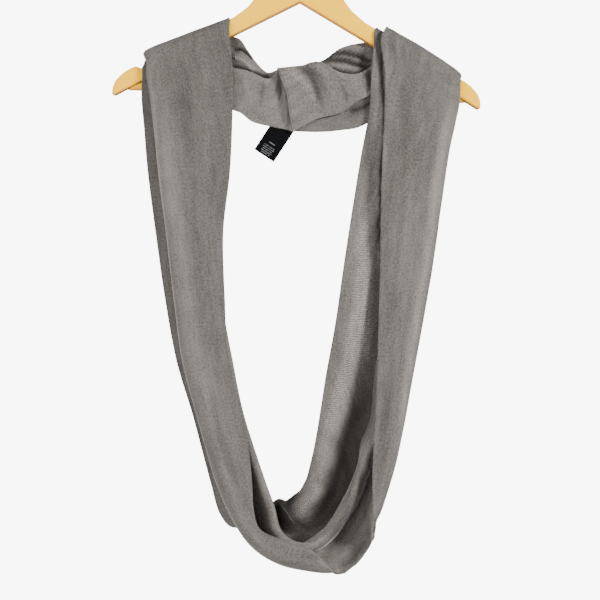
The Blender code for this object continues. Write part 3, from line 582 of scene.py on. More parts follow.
@dataclass(frozen=True)
class JerseyFinish:
    """Fine heathered jersey: its stitches, streaks of yarn and soft nap."""

    dark: Colour = (0.053, 0.0485, 0.0430)
    light: Colour = (0.128, 0.1185, 0.1060)
    face: Knit = Knit(1.0, 0.20, 0.00016)
    reverse: Knit = Knit(1.34, 0.36, 0.00028)
    wale: float = 0.0027             # from one column of stitches to the next
    course: float = 0.00265          # from one row of stitches to the next
    wander: Speckle = Speckle(95.0, 70.0, 0.0, strength=2.2)   # of the rows, in rows
    column_wander: float = 0.55      # of the columns, for each row of wander
    stitch_dip: float = 0.3          # how deep the cloth dips between two rows
    ridge_sway: float = 0.13         # how far the reverse's ridges sway, in rows
    ridge_least: float = 0.30        # how clear they are on shaded cloth
    ridge_more: float = 3.4          # and how much clearer for each unit of painted light
    mean_height: float = 0.55        # the height at which the tone is a half
    streak: Speckle = Speckle(300.0, 34.0, 0.0, 3.0, 0.6, 0.5)
    heather: Speckle = Speckle(620.0, 430.0, 3.0, 2.0, 0.7, 1.0)
    nap: Speckle = Speckle(560.0, 380.0, 5.0, 1.0, 0.6, 1.5)
    blotch: Speckle = Speckle(160.0, 38.0, 9.0, 1.0, 0.5, 0.55)
    patch: Speckle = Speckle(40.0, 6.0, 7.0, 2.0, 0.5, 0.9)
    rim_light_gain: float = 0.55           # how strong the painted rim light along the folds is
    palest: float = 1.25             # the tone is kept below this
    lump: float = 0.8                # the heather's share of the bump
    bump_strength: float = 0.8

    def stitches(self, g: Graph, side: Side, u: Socket, v: Socket, fold: Socket) -> Socket:
        """The stitches' height, 0 to 1.

        The face's height is a V for each stitch: a row wave whose phase falls off to
        both sides of its column, under a crown that is one at each leg's middle. The
        reverse's is a low wavy ridge for each row, clearer where painted light lies on it.
        """
        shift = g.math("MULTIPLY", g.math("SUBTRACT", self.wander.on(g, u, v), 0.5),
                       self.wander.strength)
        x = g.math("ADD", g.math("DIVIDE", u, self.wale),
                   g.math("MULTIPLY", shift, self.column_wander))
        row = g.math("ADD", g.math("DIVIDE", v, self.course), shift)
        if side is Side.FACE:
            off = g.math("ABSOLUTE", g.math("SUBTRACT", g.math("FRACT", x), 0.5))
            wave = g.math("SINE", g.math("MULTIPLY", g.math("ADD", row, off), TURN))
            leg = g.math("SUBTRACT", g.math("MULTIPLY", off, 4.0), 1.0)
            crown = g.math("SUBTRACT", 1.0, g.math("MULTIPLY", leg, leg))
            dips = g.math("MULTIPLY_ADD", wave, self.stitch_dip, 1.0 - self.stitch_dip)
            return g.math("MULTIPLY", crown, dips)
        sway = g.math("MULTIPLY", g.math("SINE", g.math("MULTIPLY", x, TURN)), self.ridge_sway)
        wave = g.math("COSINE", g.math("MULTIPLY", g.math("ADD", row, sway), TURN))
        clear = g.math("MULTIPLY_ADD", g.math("MAXIMUM", fold, 0.0), self.ridge_more,
                       self.ridge_least)
        ridge = g.math("MULTIPLY_ADD", wave, 0.5, 0.5)
        return g.math("ADD", g.math("MULTIPLY", g.math("SUBTRACT", ridge, 0.5), clear), 0.5)

    def build(self, side: Side) -> bpy.types.Material:
        """The material of one side.

        The tone runs from the dark yarn to the light one. It is the stitches' height,
        with each layer of noise about its middle and the painted rim light of the folds
        added, and the whole colour is then multiplied by the tone attribute: painted
        shade in creases, pockets and gaps, and painted light on lit strips.
        """
        g = Graph("jersey_face" if side is Side.FACE else "jersey_reverse")
        knit = self.face if side is Side.FACE else self.reverse
        place = g.node("ShaderNodeUVMap", uv_map="cloth").outputs[0]
        parts = g.node("ShaderNodeSeparateXYZ", {"Vector": place})
        u, v = parts.outputs[0], parts.outputs[1]
        # the tone attribute: painted shade in creases, pockets and gaps, painted light on lit strips
        fold = g.node("ShaderNodeAttribute", attribute_name="tone").outputs["Fac"]
        # painted rim light along the folds and the raw edges
        rim_light = g.node("ShaderNodeAttribute", attribute_name="rim_light").outputs["Fac"]
        height = self.stitches(g, side, u, v, fold)
        flecks = self.heather.on(g, u, v)
        tone = g.math("MULTIPLY_ADD", height, knit.depth, 0.5 - knit.depth * self.mean_height)
        for layer in (self.streak, self.heather, self.nap, self.blotch, self.patch):
            noise = flecks if layer is self.heather else layer.on(g, u, v)
            tone = g.math("MULTIPLY_ADD", g.math("SUBTRACT", noise, 0.5), layer.strength, tone)
        # the painted rim light pales the tone
        tone = g.math("ADD", tone, g.math("MULTIPLY", rim_light, self.rim_light_gain))
        tone = g.math("MAXIMUM", g.math("MINIMUM", tone, self.palest), 0.0)
        yarns = (tuple(part * knit.gain for part in yarn) for yarn in (self.dark, self.light))
        colour = g.blend(tone, *yarns)
        # the painted light and shade multiply the whole colour
        shade = g.math("ADD", fold, 1.0)
        colour = g.node("ShaderNodeVectorMath", {0: colour, 1: g.vector(shade, shade, shade)},
                        operation="MULTIPLY").outputs[0]
        lumps = g.math("MULTIPLY_ADD", g.math("SUBTRACT", flecks, 0.5), self.lump, height)
        g.bump(lumps, knit.bump, self.bump_strength)
        return g.finish(colour, Roughness=0.92, Sheen_Weight=0.3, Sheen_Roughness=0.25,
                        Specular_IOR_Level=0.15)


@dataclass(frozen=True)
class SatinFinish:
    """Black satin ribbon with a close weave."""

    base: Colour = (0.0006, 0.0007, 0.0010)
    light: Colour = (0.0014, 0.0016, 0.0022)
    thread: float = 0.0005                        # from one cross thread to the next
    slub: Speckle = Speckle(90.0, 900.0, 0.0)     # uneven threads
    bump: float = 0.00004

    def build(self) -> bpy.types.Material:
        """The satin: fine cross threads in its bump and its tone."""
        g = Graph("label_satin")
        place = g.node("ShaderNodeUVMap", uv_map="cloth").outputs[0]
        parts = g.node("ShaderNodeSeparateXYZ", {"Vector": place})
        thread = g.math("SINE", g.math("MULTIPLY", parts.outputs[1], TURN / self.thread))
        slub = self.slub.on(g, parts.outputs[0], parts.outputs[1])
        g.bump(g.math("ADD", thread, slub), self.bump, strength=0.5)
        return g.finish(g.blend(slub, self.base, self.light), Roughness=0.6,
                        Specular_IOR_Level=0.05)


@dataclass(frozen=True)
class InkFinish:
    """Muted grey print on the label."""

    worn: Colour = (0.05, 0.052, 0.06)
    fresh: Colour = (0.10, 0.105, 0.115)
    wear: float = 2600.0    # worn spots to a metre

    def build(self) -> bpy.types.Material:
        """The print, a little uneven."""
        g = Graph("label_print")
        spots = g.noise(g.node("ShaderNodeTexCoord").outputs["Object"], self.wear)
        return g.finish(g.blend(spots, self.worn, self.fresh), Roughness=0.6)


@dataclass(frozen=True)
class WoodFinish:
    """Pale varnished wood, with its grain along each arm."""

    pale: Colour = (0.96, 0.54, 0.0)
    deep: Colour = (0.92, 0.44, 0.0)
    line: Colour = (0.74, 0.27, 0.0)
    shaded: Colour = (0.62, 0.235, 0.07)     # on faces that look down
    joint_shadow: Colour = (0.075, 0.028, 0.006)      # painted shadow where the arm's underside shades the bar, at their joint
    grain: Point = (9.0, 210.0, 120.0)       # wave numbers along, over and through the wood
    broad: Point = (5.0, 40.0, 30.0)
    broad_range: tuple[float, float] = (1.6, -0.3)     # gain and lift of the broad bands
    line_range: tuple[float, float] = (3.2, -1.75)     # and of the darker lines
    line_share: tuple[float, float] = (0.5, 0.6)       # their strength and its limit
    under_share: float = 0.75
    joint: tuple[float, float] = (0.187, -0.2104)      # a place on the joint, out and up
    joint_slope: float = math.radians(29.3)            # how far the joint falls
    joint_width: float = 0.0016
    joint_reach: float = 0.02                          # how far in from that place it goes
    joint_share: float = 0.95
    bump: float = 0.0001

    def drawn(self, g: Graph, waves: Point, axes: Sequence[Socket], detail: float) -> Socket:
        """Noise drawn out along the grain, by its wave number on each axis."""
        scaled = [g.math("MULTIPLY", axis, wave) for axis, wave in zip(axes, waves)]
        return g.noise(g.vector(*scaled), detail=detail)

    def facing_down(self, g: Graph) -> Socket:
        """How far a face looks down: minus its normal's height, none below zero."""
        normal = g.node("ShaderNodeNewGeometry").outputs["Normal"]
        up = g.node("ShaderNodeSeparateXYZ", {"Vector": normal}).outputs[2]
        return g.math("MAXIMUM", g.math("MULTIPLY", up, -1.0), 0.0)

    def near_joint(self, g: Graph, out: Socket, up: Socket) -> Socket:
        """One on the joint's line and nothing a joint's width off it or further in."""
        fall, drop = math.sin(self.joint_slope), math.cos(self.joint_slope)
        apart = g.math("ADD", g.math("MULTIPLY", g.math("SUBTRACT", out, self.joint[0]), fall),
                       g.math("MULTIPLY", g.math("SUBTRACT", up, self.joint[1]), drop))
        near = g.math("SUBTRACT", 1.0,
                      g.math("DIVIDE", g.math("ABSOLUTE", apart), self.joint_width))
        return g.math("MULTIPLY", g.math("MAXIMUM", near, 0.0),
                      g.math("GREATER_THAN", out, self.joint[0] - self.joint_reach))

    def build(self, name: str, slope: float, tilt: float) -> bpy.types.Material:
        """The wood's material.

        The place is turned level, folded to one side of the middle and turned along
        the arm. The grain is noise drawn out along it, with a few darker lines.

        Args:
            name: the material's name.
            slope: how far the grain falls from level, in degrees.
            tilt: how far the whole hanger is turned, in degrees.

        Returns:
            The material.
        """
        g = Graph(name)
        place = g.node("ShaderNodeTexCoord").outputs["Object"]
        level = g.node("ShaderNodeMapping", {"Vector": place,
                                             "Rotation": (0.0, -math.radians(tilt), 0.0)})
        parts = g.node("ShaderNodeSeparateXYZ", {"Vector": level.outputs[0]})
        out, through, up = g.math("ABSOLUTE", parts.outputs[0]), parts.outputs[1], parts.outputs[2]
        sin, cos = math.sin(math.radians(slope)), math.cos(math.radians(slope))
        along = g.math("SUBTRACT", g.math("MULTIPLY", out, cos), g.math("MULTIPLY", up, sin))
        over = g.math("ADD", g.math("MULTIPLY", out, sin), g.math("MULTIPLY", up, cos))
        grain = self.drawn(g, self.grain, (along, over, through), detail=4.0)
        broad = self.drawn(g, self.broad, (along, over, through), detail=2.0)
        colour = g.blend(g.math("MULTIPLY_ADD", broad, *self.broad_range), self.pale, self.deep)
        fine = g.math("MAXIMUM", g.math("MULTIPLY_ADD", grain, *self.line_range), 0.0)
        fine = g.math("MINIMUM", g.math("MULTIPLY", fine, self.line_share[0]), self.line_share[1])
        colour = g.blend(fine, colour, self.line)
        under = g.math("MULTIPLY", self.facing_down(g), self.under_share)
        colour = g.blend(under, colour, self.shaded)
        # painted shadow along the joint, where the arm shades the bar
        near = g.math("MULTIPLY", self.near_joint(g, out, up), self.joint_share)
        colour = g.blend(near, colour, self.joint_shadow)
        g.bump(grain, self.bump, strength=0.35)
        return g.finish(colour, Roughness=0.45, Specular_IOR_Level=0.06)


@dataclass(frozen=True)
class PlatedFinish:
    """Bright plated wire with faint draw marks."""

    tone: Colour = (0.72, 0.72, 0.73)
    marks: float = 420.0                            # draw marks to a metre
    rough_range: tuple[float, float] = (0.22, 0.14)   # gain and least roughness
    bump: float = 0.00003

    def build(self) -> bpy.types.Material:
        """The plating, rougher where it has rubbed."""
        g = Graph("hook_plating")
        place = g.node("ShaderNodeTexCoord").outputs["Object"]
        rubbed = g.noise(place, self.marks, detail=3.0)
        g.join(g.math("MULTIPLY_ADD", rubbed, *self.rough_range), g.shader.inputs["Roughness"])
        g.bump(rubbed, self.bump, strength=0.3)
        return g.finish(self.tone, Metallic=1.0)


# ---------------------------------------------------------------- the scarf
class Crease(NamedTuple):
    """A soft trough or ridge on the cloth along a line of places, with painted light or shade.

    A place is a section, a share of the way to the next one, and how many control
    columns in from the front edge: 0 is that edge, 3 the outer fold, 7 the inner fold,
    11 the valley and 14 the back edge.
    """

    path: tuple[tuple[str, float, float], ...]
    width: float         # mm, to where it has mostly faded
    rise: float = 0.0    # mm, towards the face, or towards the reverse below zero
    pinch: float = 0.0   # 0 for a round trough, 1 for one that is pinched to a line
    tone: float = 0.0    # painted light along it, or painted shade below zero
    fade: float = 2.5    # how fast it fades across

    def across(self, away: np.ndarray) -> np.ndarray:
        """Its shape at a distance from the line: a round bell blended with a pinched one."""
        share = away / self.width
        pinched = np.exp(-self.fade * share)
        return np.exp(-self.fade * share * share) * (1.0 - self.pinch) + pinched * self.pinch


CREASES = (
    # the seam stands proud of the cloth to both sides of it
    Crease((("neck_l0", 0.0, 6.4), ("neck_l0", 0.0, 13.6)), 9.0, -4.5),
    Crease((("neck_r0", 0.0, 6.4), ("neck_r0", 0.0, 13.6)), 9.0, -4.5),
    # the rolls behind, at the neck's right, with painted shade in the lines between them and under the
    # front's top edge, and painted light on their crests
    Crease((("neck_r2", 0.36, 0.1), ("neck_r3", 0.5, 0.2), ("neck_r4", 0.55, 0.35)), 24.0, tone=-0.34),
    Crease((("neck_r2", 0.86, 0.0), ("neck_r2", 0.43, 0.0), ("neck_r3", 0.75, 0.15),
            ("neck_r3", 0.08, 0.3), ("neck_r4", 0.09, 0.5)), 4.2, 3.2, 0.2, tone=-1.35),
    Crease((("neck_r2", 0.86, 0.05), ("neck_r2", 0.43, 0.15), ("neck_r3", 0.75, 0.35),
            ("neck_r4", 0.91, 0.55), ("neck_r4", 0.0, 0.65)), 4.4, 3.0, 0.2, tone=-1.35),
    Crease((("neck_r2", 0.57, 0.0), ("neck_r3", 0.75, 0.05), ("neck_r3", 0.0, 0.1),
            ("neck_r4", 0.09, 0.2)), 4.5, -2.2, tone=0.3),
    Crease((("neck_r2", 0.21, 0.15), ("neck_r3", 0.5, 0.3), ("neck_r4", 0.82, 0.45)), 3.0, -1.6,
            tone=0.2),
    Crease((("neck_r2", 0.36, 0.35), ("neck_r3", 0.58, 0.55), ("neck_r3", 0.0, 0.65)), 5.0, -2.4,
            tone=0.2),
    Crease((("neck_r2", 0.5, 0.35), ("neck_r2", 0.0, 0.6), ("neck_r3", 0.5, 0.7),
            ("neck_r4", 0.91, 0.75), ("neck_r4", 0.36, 0.65)), 4.6, tone=-1.5),
    # and at its left, with the same painted shade and light
    Crease((("neck_l4", 0.0, 0.35), ("neck_l3", 0.0, 0.25), ("neck_l2", 0.25, 0.1),
            ("neck_l1", 0.82, 0.05)), 3.4, 3.2, 0.2, tone=-0.85),
    Crease((("neck_l4", 0.0, 0.55), ("neck_l3", 0.0, 0.55), ("neck_l2", 0.25, 0.45),
            ("neck_l1", 0.64, 0.35)), 6.0, -2.5, tone=0.4),
    Crease((("neck_l4", 0.0, 0.8), ("neck_l3", 0.14, 0.8), ("neck_l2", 0.25, 0.6),
            ("neck_l1", 0.64, 0.4), ("neck_l1", 0.18, 0.25), ("neck_l0s", 0.5, 0.2)), 4.6, tone=-1.1),
    # the neck's front: its shaded foot left of the seam
    Crease((("neck_l0", 0.5, 8.25), ("neck_l0", 0.5, 9.0), ("neck_l0", 0.75, 9.88)), 10.0, 2.4,
            tone=-0.75),
    Crease((("neck_l0", 0.0, 9.38), ("neck_l0", 0.0, 12.25), ("neck_l0", 0.25, 13.75)), 3.4, tone=-0.6),
    # the lit side in painted light, the trough and the ridge right of it, and the last folds, with
    # painted shade in their troughs and pockets
    Crease((("neck_r1", 0.79, 7.33), ("neck_r1", 0.58, 8.75), ("neck_r1", 0.37, 9.5),
            ("neck_r1", 0.11, 12.5)), 6.5, -1.0, tone=0.42),
    Crease((("neck_r1", 0.53, 7.0), ("neck_r1", 0.16, 9.25), ("neck_r1", 0.0, 12.12),
            ("neck_r2", 0.86, 12.88)), 8.0, 3.8, tone=-0.6),
    Crease((("neck_r1", 0.21, 7.67), ("neck_r2", 0.71, 9.12), ("neck_r2", 0.5, 12.12)), 9.0, -3.8,
            tone=-0.05),
    Crease((("neck_r2", 0.0, 9.12), ("neck_r3", 0.75, 10.67), ("neck_r3", 0.67, 13.0)), 5.0, 1.6,
            tone=-0.3),
    Crease((("neck_r3", 0.5, 8.25), ("neck_r3", 0.08, 12.25)), 8.0, -2.0),
    Crease((("neck_r2", 0.86, 9.0), ("neck_r2", 0.0, 9.88), ("neck_r4", 0.73, 13.75)), 20.0,
            tone=-0.14),
    Crease((("neck_r4", 0.64, 7.0), ("neck_r4", 0.36, 9.38), ("neck_r4", 0.09, 13.62)), 9.0, 1.6,
            tone=-0.85),
    Crease((("neck_r3", 0.58, 4.67), ("neck_r3", 0.08, 4.67), ("neck_r4", 0.55, 4.67),
            ("neck_r4", 0.0, 4.67)), 9.0, tone=-0.8),
    # two low folds left of the seam, with painted shade in the first and faint painted light on the
    # second
    Crease((("neck_l1", 0.27, 8.0), ("neck_l1", 0.36, 9.12), ("neck_l1", 0.55, 12.25)), 6.0, 2.0,
            tone=-0.26),
    Crease((("neck_l2", 0.75, 8.38), ("neck_l2", 0.38, 11.33)), 8.0, -1.8, tone=0.08),
    # beside and on the front layer of the right drop: painted shadow in the gap beside its inner edge,
    # and painted light and shade on the layer itself
    Crease((("arm_r_-2", 0.5, 13.62), ("drop_r9", 0.5, 13.62), ("drop_r8", 0.67, 13.5),
            ("drop_r8", 0.11, 13.38), ("drop_r7", 0.4, 13.25), ("drop_r6", 0.86, 13.25),
            ("drop_r6", 0.29, 13.12), ("drop_r5", 0.75, 13.0), ("drop_r5", 0.25, 12.75)), 2.3,
            tone=-1.9),
    Crease((("drop_r9", 0.5, 13.8), ("drop_r8", 0.67, 13.68), ("drop_r8", 0.11, 13.56),
            ("drop_r7", 0.4, 13.43), ("drop_r6", 0.86, 13.43), ("drop_r6", 0.29, 13.3)), 5.0, tone=0.3),
    Crease((("drop_r5", 0.88, 13.12), ("drop_r5", 0.38, 12.88), ("drop_r4", 0.88, 12.75),
            ("drop_r4", 0.38, 12.62)), 5.0, tone=-0.4),
    Crease((("arm_r_-3", 0.33, 13.75), ("drop_r9", 0.17, 13.75), ("drop_r8", 0.33, 13.62)), 8.0,
            tone=-0.4),
    Crease((("arm_r_-1", 0.5, 14.0), ("arm_r_-2", 0.0, 13.75), ("arm_r_-3", 0.0, 13.75)), 7.0,
            tone=-0.55),
    Crease((("drop_r8", 0.67, 14.0), ("drop_r8", 0.0, 14.0), ("drop_r7", 0.1, 13.75),
            ("drop_r6", 0.64, 13.62)), 10.0, tone=-0.45),
    Crease((("arm_r_-1", 0.5, 0.2), ("drop_r9", 0.89, 0.33), ("drop_r8", 0.85, 0.27)), 3.6, 1.6,
            tone=-0.3),
    Crease((("arm_r_-2", 0.83, 0.05), ("arm_r_-3", 0.44, 0.15), ("drop_r8", 0.3, 0.02),
            ("drop_r6", 0.64, 0.12)), 5.0, -1.6, tone=0.25),
    Crease((("drop_r9", 0.89, 1.7), ("drop_r7", 0.23, 1.76), ("drop_r6", 0.07, 1.76),
            ("drop_r4", 0.73, 1.7), ("drop_r3", 0.52, 1.7), ("drop_r2", 0.1, 2.0),
            ("bend_17", 0.72, 2.22)), 10.0, -0.8, tone=0.6),
    # the front layer of the left drop, with painted light towards its outer fold and some painted shade
    # lower down
    Crease((("drop_l1", 0.3, 1.61), ("drop_l2", 0.33, 1.64), ("drop_l3", 0.67, 1.67),
            ("drop_l4", 0.81, 1.55), ("drop_l5", 0.96, 1.39), ("drop_l7", 0.33, 1.55)), 15.0, -0.8,
            tone=0.24),
    Crease((("arm_l_-2", 0.0, 2.0), ("drop_l1", 0.2, 2.0), ("drop_l2", 0.29, 2.33),
            ("drop_l3", 0.47, 3.0), ("drop_l4", 0.68, 3.0), ("drop_l5", 0.94, 3.0),
            ("drop_l6", 0.73, 3.0)), 3.4, tone=0.6),
    Crease((("drop_l6", 0.29, 0.93), ("drop_l7", 0.03, 1.27), ("drop_l8", 0.05, 1.09),
            ("bend_1", 0.42, 0.55), ("bend_2", 0.39, 0.0)), 8.0, -1.4, tone=-0.2),
    Crease((("drop_l6", 0.29, 1.21), ("drop_l7", 0.03, 1.55), ("drop_l8", 0.05, 1.52),
            ("bend_1", 0.46, 0.98)), 8.0, 1.0, tone=0.14),
    # the middle of both fronts, in painted light and shade
    Crease((("drop_r7", 0.07, 0.62), ("drop_r5", 0.9, 0.88), ("drop_r4", 0.73, 0.68)), 16.0, -0.8,
            tone=0.16),
    Crease((("arm_r_-3", 0.67, 0.3), ("drop_r8", 0.78, 0.15), ("drop_r7", 0.8, 0.2)), 12.0, tone=0.2),
    Crease((("arm_l_-3", 0.42, 0.2), ("drop_l2", 0.62, 0.23), ("drop_l3", 0.96, 0.0)), 24.0,
            tone=-0.12),
    Crease((("drop_r3", 0.17, 0.73), ("drop_r2", 0.0, 0.62), ("bend_17", 0.72, 0.67)), 9.0, tone=-0.22),
    # the layer behind the right drop, and the turn it has low down: painted light on its lit strip and
    # painted shade where the front layer shades it
    Crease((("drop_r6", 0.0, 13.54), ("drop_r5", 0.06, 13.29), ("drop_r4", 0.21, 13.25),
            ("drop_r3", 0.4, 13.12), ("drop_r2", 0.82, 13.21), ("drop_r2", 0.13, 13.29),
            ("drop_r1", 0.29, 13.33), ("bend_17", 0.11, 13.38), ("bend_13", 0.83, 13.42),
            ("bend_9", 0.5, 13.0), ("bend_7", 0.67, 12.96)), 10.0, tone=0.9),
    Crease((("drop_r5", 0.23, 13.88), ("drop_r4", 0.38, 13.88), ("drop_r3", 0.52, 13.92),
            ("drop_r2", 0.49, 14.0)), 12.0, tone=-0.1),
    Crease((("drop_r5", 0.04, 13.0), ("drop_r4", 0.0, 12.96), ("drop_r2", 0.95, 12.88),
            ("drop_r2", 0.05, 12.92), ("drop_r1", 0.0, 12.92), ("bend_14", 0.67, 13.0),
            ("bend_10", 0.5, 12.83)), 5.0, -2.4, 0.5, tone=0.05),
    Crease((("drop_r2", 0.67, 12.21), ("drop_r2", 0.21, 12.54), ("drop_r1", 0.17, 12.62),
            ("bend_15", 0.83, 12.67), ("bend_11", 0.47, 12.67), ("bend_8", 0.33, 12.46)), 20.0,
            tone=-0.66),
    Crease((("drop_r4", 0.04, 12.83), ("drop_r3", 0.69, 12.67), ("drop_r3", 0.29, 12.54)), 14.0,
            tone=0.75),
    # round the bend: painted light and shade on its inner fold, its back and its front edge
    Crease((("drop_r1", 0.33, 7.89), ("bend_16", 0.78, 6.89), ("bend_12", 0.67, 6.89)), 9.0, -2.0,
            tone=0.1),
    Crease((("bend_17", 0.0, 4.83), ("bend_14", 0.5, 5.0), ("bend_11", 0.6, 5.17),
            ("bend_9", 0.5, 6.0)), 7.0, tone=-0.45),
    Crease((("bend_10", 0.0, 4.33), ("bend_11", 0.6, 4.33), ("bend_14", 0.5, 4.33)), 18.0, tone=-0.28),
    Crease((("bend_5", 0.92, 13.92), ("bend_5", 0.33, 13.46), ("bend_5", 0.17, 12.83)), 12.0,
            tone=-0.8),
    Crease((("bend_6", 0.0, 0.0), ("bend_6", 0.75, 0.2), ("bend_7", 0.67, 0.7)), 3.5, tone=0.35),
    Crease((("bend_5", 0.58, 0.77), ("bend_6", 0.5, 0.4), ("bend_7", 0.22, 0.0)), 14.0, tone=-0.13),
    Crease((("bend_8", 0.5, 4.0), ("bend_10", 0.0, 4.0), ("bend_11", 0.2, 4.17), ("bend_12", 0.0, 4.0),
            ("bend_13", 0.5, 4.0)), 16.0, tone=-0.62),
    # low streaks down both fronts, in faint painted light and shade
    Crease((("arm_l_-3", 0.0, 0.9), ("drop_l1", 0.5, 1.09), ("drop_l3", 0.0, 1.0),
            ("drop_l4", 0.11, 0.85)), 9.0, 0.6, tone=-0.1),
    Crease((("arm_l_-3", 0.12, 0.6), ("drop_l1", 0.8, 0.65), ("drop_l3", 0.18, 0.55)), 8.0, -0.5,
            tone=0.07),
    Crease((("drop_r9", 0.33, 0.55), ("drop_r7", 0.9, 0.65), ("drop_r6", 0.86, 0.7),
            ("drop_r5", 0.75, 0.75)), 8.0, 0.6, tone=-0.09),
    Crease((("drop_r8", 0.78, 0.95), ("drop_r7", 0.1, 1.18), ("drop_r5", 0.75, 1.27)), 9.0, -0.5,
            tone=0.08),
    # low folds of both fronts
    Crease((("drop_l4", 0.0, 1.5), ("bend_1", 0.0, 1.4)), 8.0, 1.5),
    Crease((("drop_l5", 0.0, 0.55), ("bend_3", 0.0, 0.7)), 7.0, -1.5),
    Crease((("arm_l_0", 0.0, 1.4), ("drop_l3", 0.0, 1.3)), 9.0, -1.0),
    Crease((("drop_r5", 0.0, 1.1), ("drop_r1", 0.0, 1.2)), 8.0, -1.3),
    Crease((("drop_r7", 0.0, 0.8), ("drop_r4", 0.0, 0.7)), 9.0, 1.2),
    # painted shade on the roll behind the bend and on the roll inside it
    Crease((("bend_12", 0.0, 14.0), ("bend_9", 0.0, 13.8), ("bend_4", 0.0, 13.9)), 16.0, tone=-0.85),
    Crease((("bend_17", 0.0, 7.0), ("bend_12", 0.0, 7.0), ("bend_8", 0.0, 7.0)), 11.0, tone=-0.45),
)


@dataclass
class Band:
    """The scarf's band: its surface, its two walls and its raw edges."""

    wall: float = 1.2            # mm
    bead: float = 0.35           # mm, how much thicker a raw edge is on each side
    bead_width: float = 1.8      # mm, to where that has mostly faded
    edge_out: float = 0.55       # mm, how far a raw edge's round reaches
    half_turned: float = 0.7     # of each way, where the stack turns over an arm's edge
    fold_reach: float = 3.0      # mm, at least, from a fold to the points beside it
    reach_share: float = 0.4     # at most, of the way from a fold to its neighbours
    fine_across: tuple[int, ...] = (20, 11, 3, 3, 6, 6, 3, 3, 8, 8, 3, 3, 8, 14)
    neck_row: float = 2.0        # mm, aimed at along the loop at the neck
    row_length: float = 4.4      # mm, and elsewhere
    row_counts: tuple[int, int] = (2, 40)      # least and most rows in a stretch
    waves: tuple[Waves, ...] = (Waves(11, 0.10, 0.028, 0.16), Waves(5, 0.03, 0.09, 0.08))
    end_fade: tuple[float, float] = (3.5, 0.35)    # how fast a crease grows, and from what
    tones: tuple[float, float] = (-0.8, 0.65)      # the most painted shade and the most painted light
    outer_rim_light: tuple[float, float] = (1.1, 1.8)    # painted rim light on the outer fold: how strong, and how wide
    outer_glow: tuple[float, float] = (0.30, 34.0)   # and painted light on the cloth beside it
    inner_rim_light: tuple[float, float] = (0.4, 1.7)      # and painted rim light on the inner fold
    rim_light_rest: float = -0.10      # painted rim light away from the folds, here a little painted shade
    edge_rim_light: float = 0.2        # painted rim light on the raw edges
    cut: tuple[float, float] = (0.215, 1.70)   # m, flat
    names: list[str] = field(default_factory=list)    # of the sections
    starts: np.ndarray = field(init=False)     # each section's row
    grid: np.ndarray = field(init=False)       # the middle surface, mm
    normal: np.ndarray = field(init=False)     # and its way towards the reverse

    def shoulder(self, name: str, lays: tuple[Lay, Lay, Lay], radii: Point,
                 phases: Sequence[int]) -> Iterator[Section]:
        """The sections over one arm, with a lay for its back, top and front."""
        behind, lay, face = lays
        slope = math.radians(HANGER.slope)
        down = (-math.copysign(math.sin(slope), lay.outer[0]), 0.0, -math.cos(slope))
        x, y, z = (self.half_turned * way for way in (down[0], 1.0, down[2]))
        stacks = {-3: BACK, -2: BACK, -1: (x, y, z), 0: down, 1: (x, -y, z), 2: FRONT, 3: FRONT}
        for phase in phases:
            used = face if phase < -1 else behind if phase == 3 else lay
            points = [HANGER.on_arm(x, lift, phase) for x, lift in used]
            yield Section(f"{name}_{phase}", radii, stacks[phase], *points)

    def sections(self) -> list[Section]:
        """Every section of the band in order, with the seam at both ends."""
        found = list(NECK_LEFT)
        found += self.shoulder("arm_l", LEFT_LAYS, LEFT_RADII, (3, 2, 1, 0, -1, -2, -3))
        found += DROP_LEFT + BEND + DROP_RIGHT
        found += self.shoulder("arm_r", RIGHT_LAYS, RIGHT_RADII, (-3, -2, -1, 0, 1, 2, 3))
        found += NECK_RIGHT
        return found

    def columns(self, section: Section) -> np.ndarray:
        """The control points across one section, with a rounded turn at each fold.

        A turn is three points: the fold, and one to each side that lies a fold radius
        off along the stack. Where the cloth runs on straight the turn flattens out.
        """
        stack = unit(np.array(section.stack))
        edge_a, belly, outer, inner, valley, edge_b = map(np.array, (
            section.edge_a, section.belly, section.outer, section.inner, section.valley,
            section.edge_b))
        hollow = np.array(section.hollow)
        crest = np.array(section.crest)
        sinks, turned = len(hollow) > 0, len(crest) > 0
        turns = []
        for radius, before, fold, after in zip(
                section.radii, (belly, hollow if sinks else outer, inner), (outer, inner, valley),
                (inner, valley, crest if turned else edge_b)):
            back, ahead = before - fold, after - fold
            shorter = min(np.linalg.norm(back), np.linalg.norm(ahead))
            reach = min(max(abs(radius), self.fold_reach), self.reach_share * shorter)
            back, ahead = unit(back), unit(ahead)
            apart = unit(ahead - back) if sinks and fold is inner else stack
            off = apart * radius * (1.0 + float(back @ ahead)) / 2.0
            turns.append((fold + back * reach - off, fold, fold + ahead * reach + off))
        if not sinks:
            hollow = (turns[0][2] + turns[1][0]) / 2.0
        if not turned:
            crest = (turns[2][2] + edge_b) / 2.0
        middle = (turns[1][2] + turns[2][0]) / 2.0
        points = [edge_a, belly, *turns[0], hollow, *turns[1], middle, *turns[2], crest, edge_b]
        return np.array(points)

    def across(self, section: Section) -> np.ndarray:
        """The points across one section, the same count for every section."""
        points = self.columns(section)
        chord = np.sqrt(np.linalg.norm(np.diff(points, axis=0), axis=1))
        knots = np.concatenate([[0.0], np.cumsum(chord)])
        return spline(points, knots, fill(knots, self.fine_across))

    def column(self, place: float) -> float:
        """The fine column at a place counted in control columns."""
        fine = np.cumsum([0, *self.fine_across])
        return float(np.interp(place, range(len(fine)), fine))

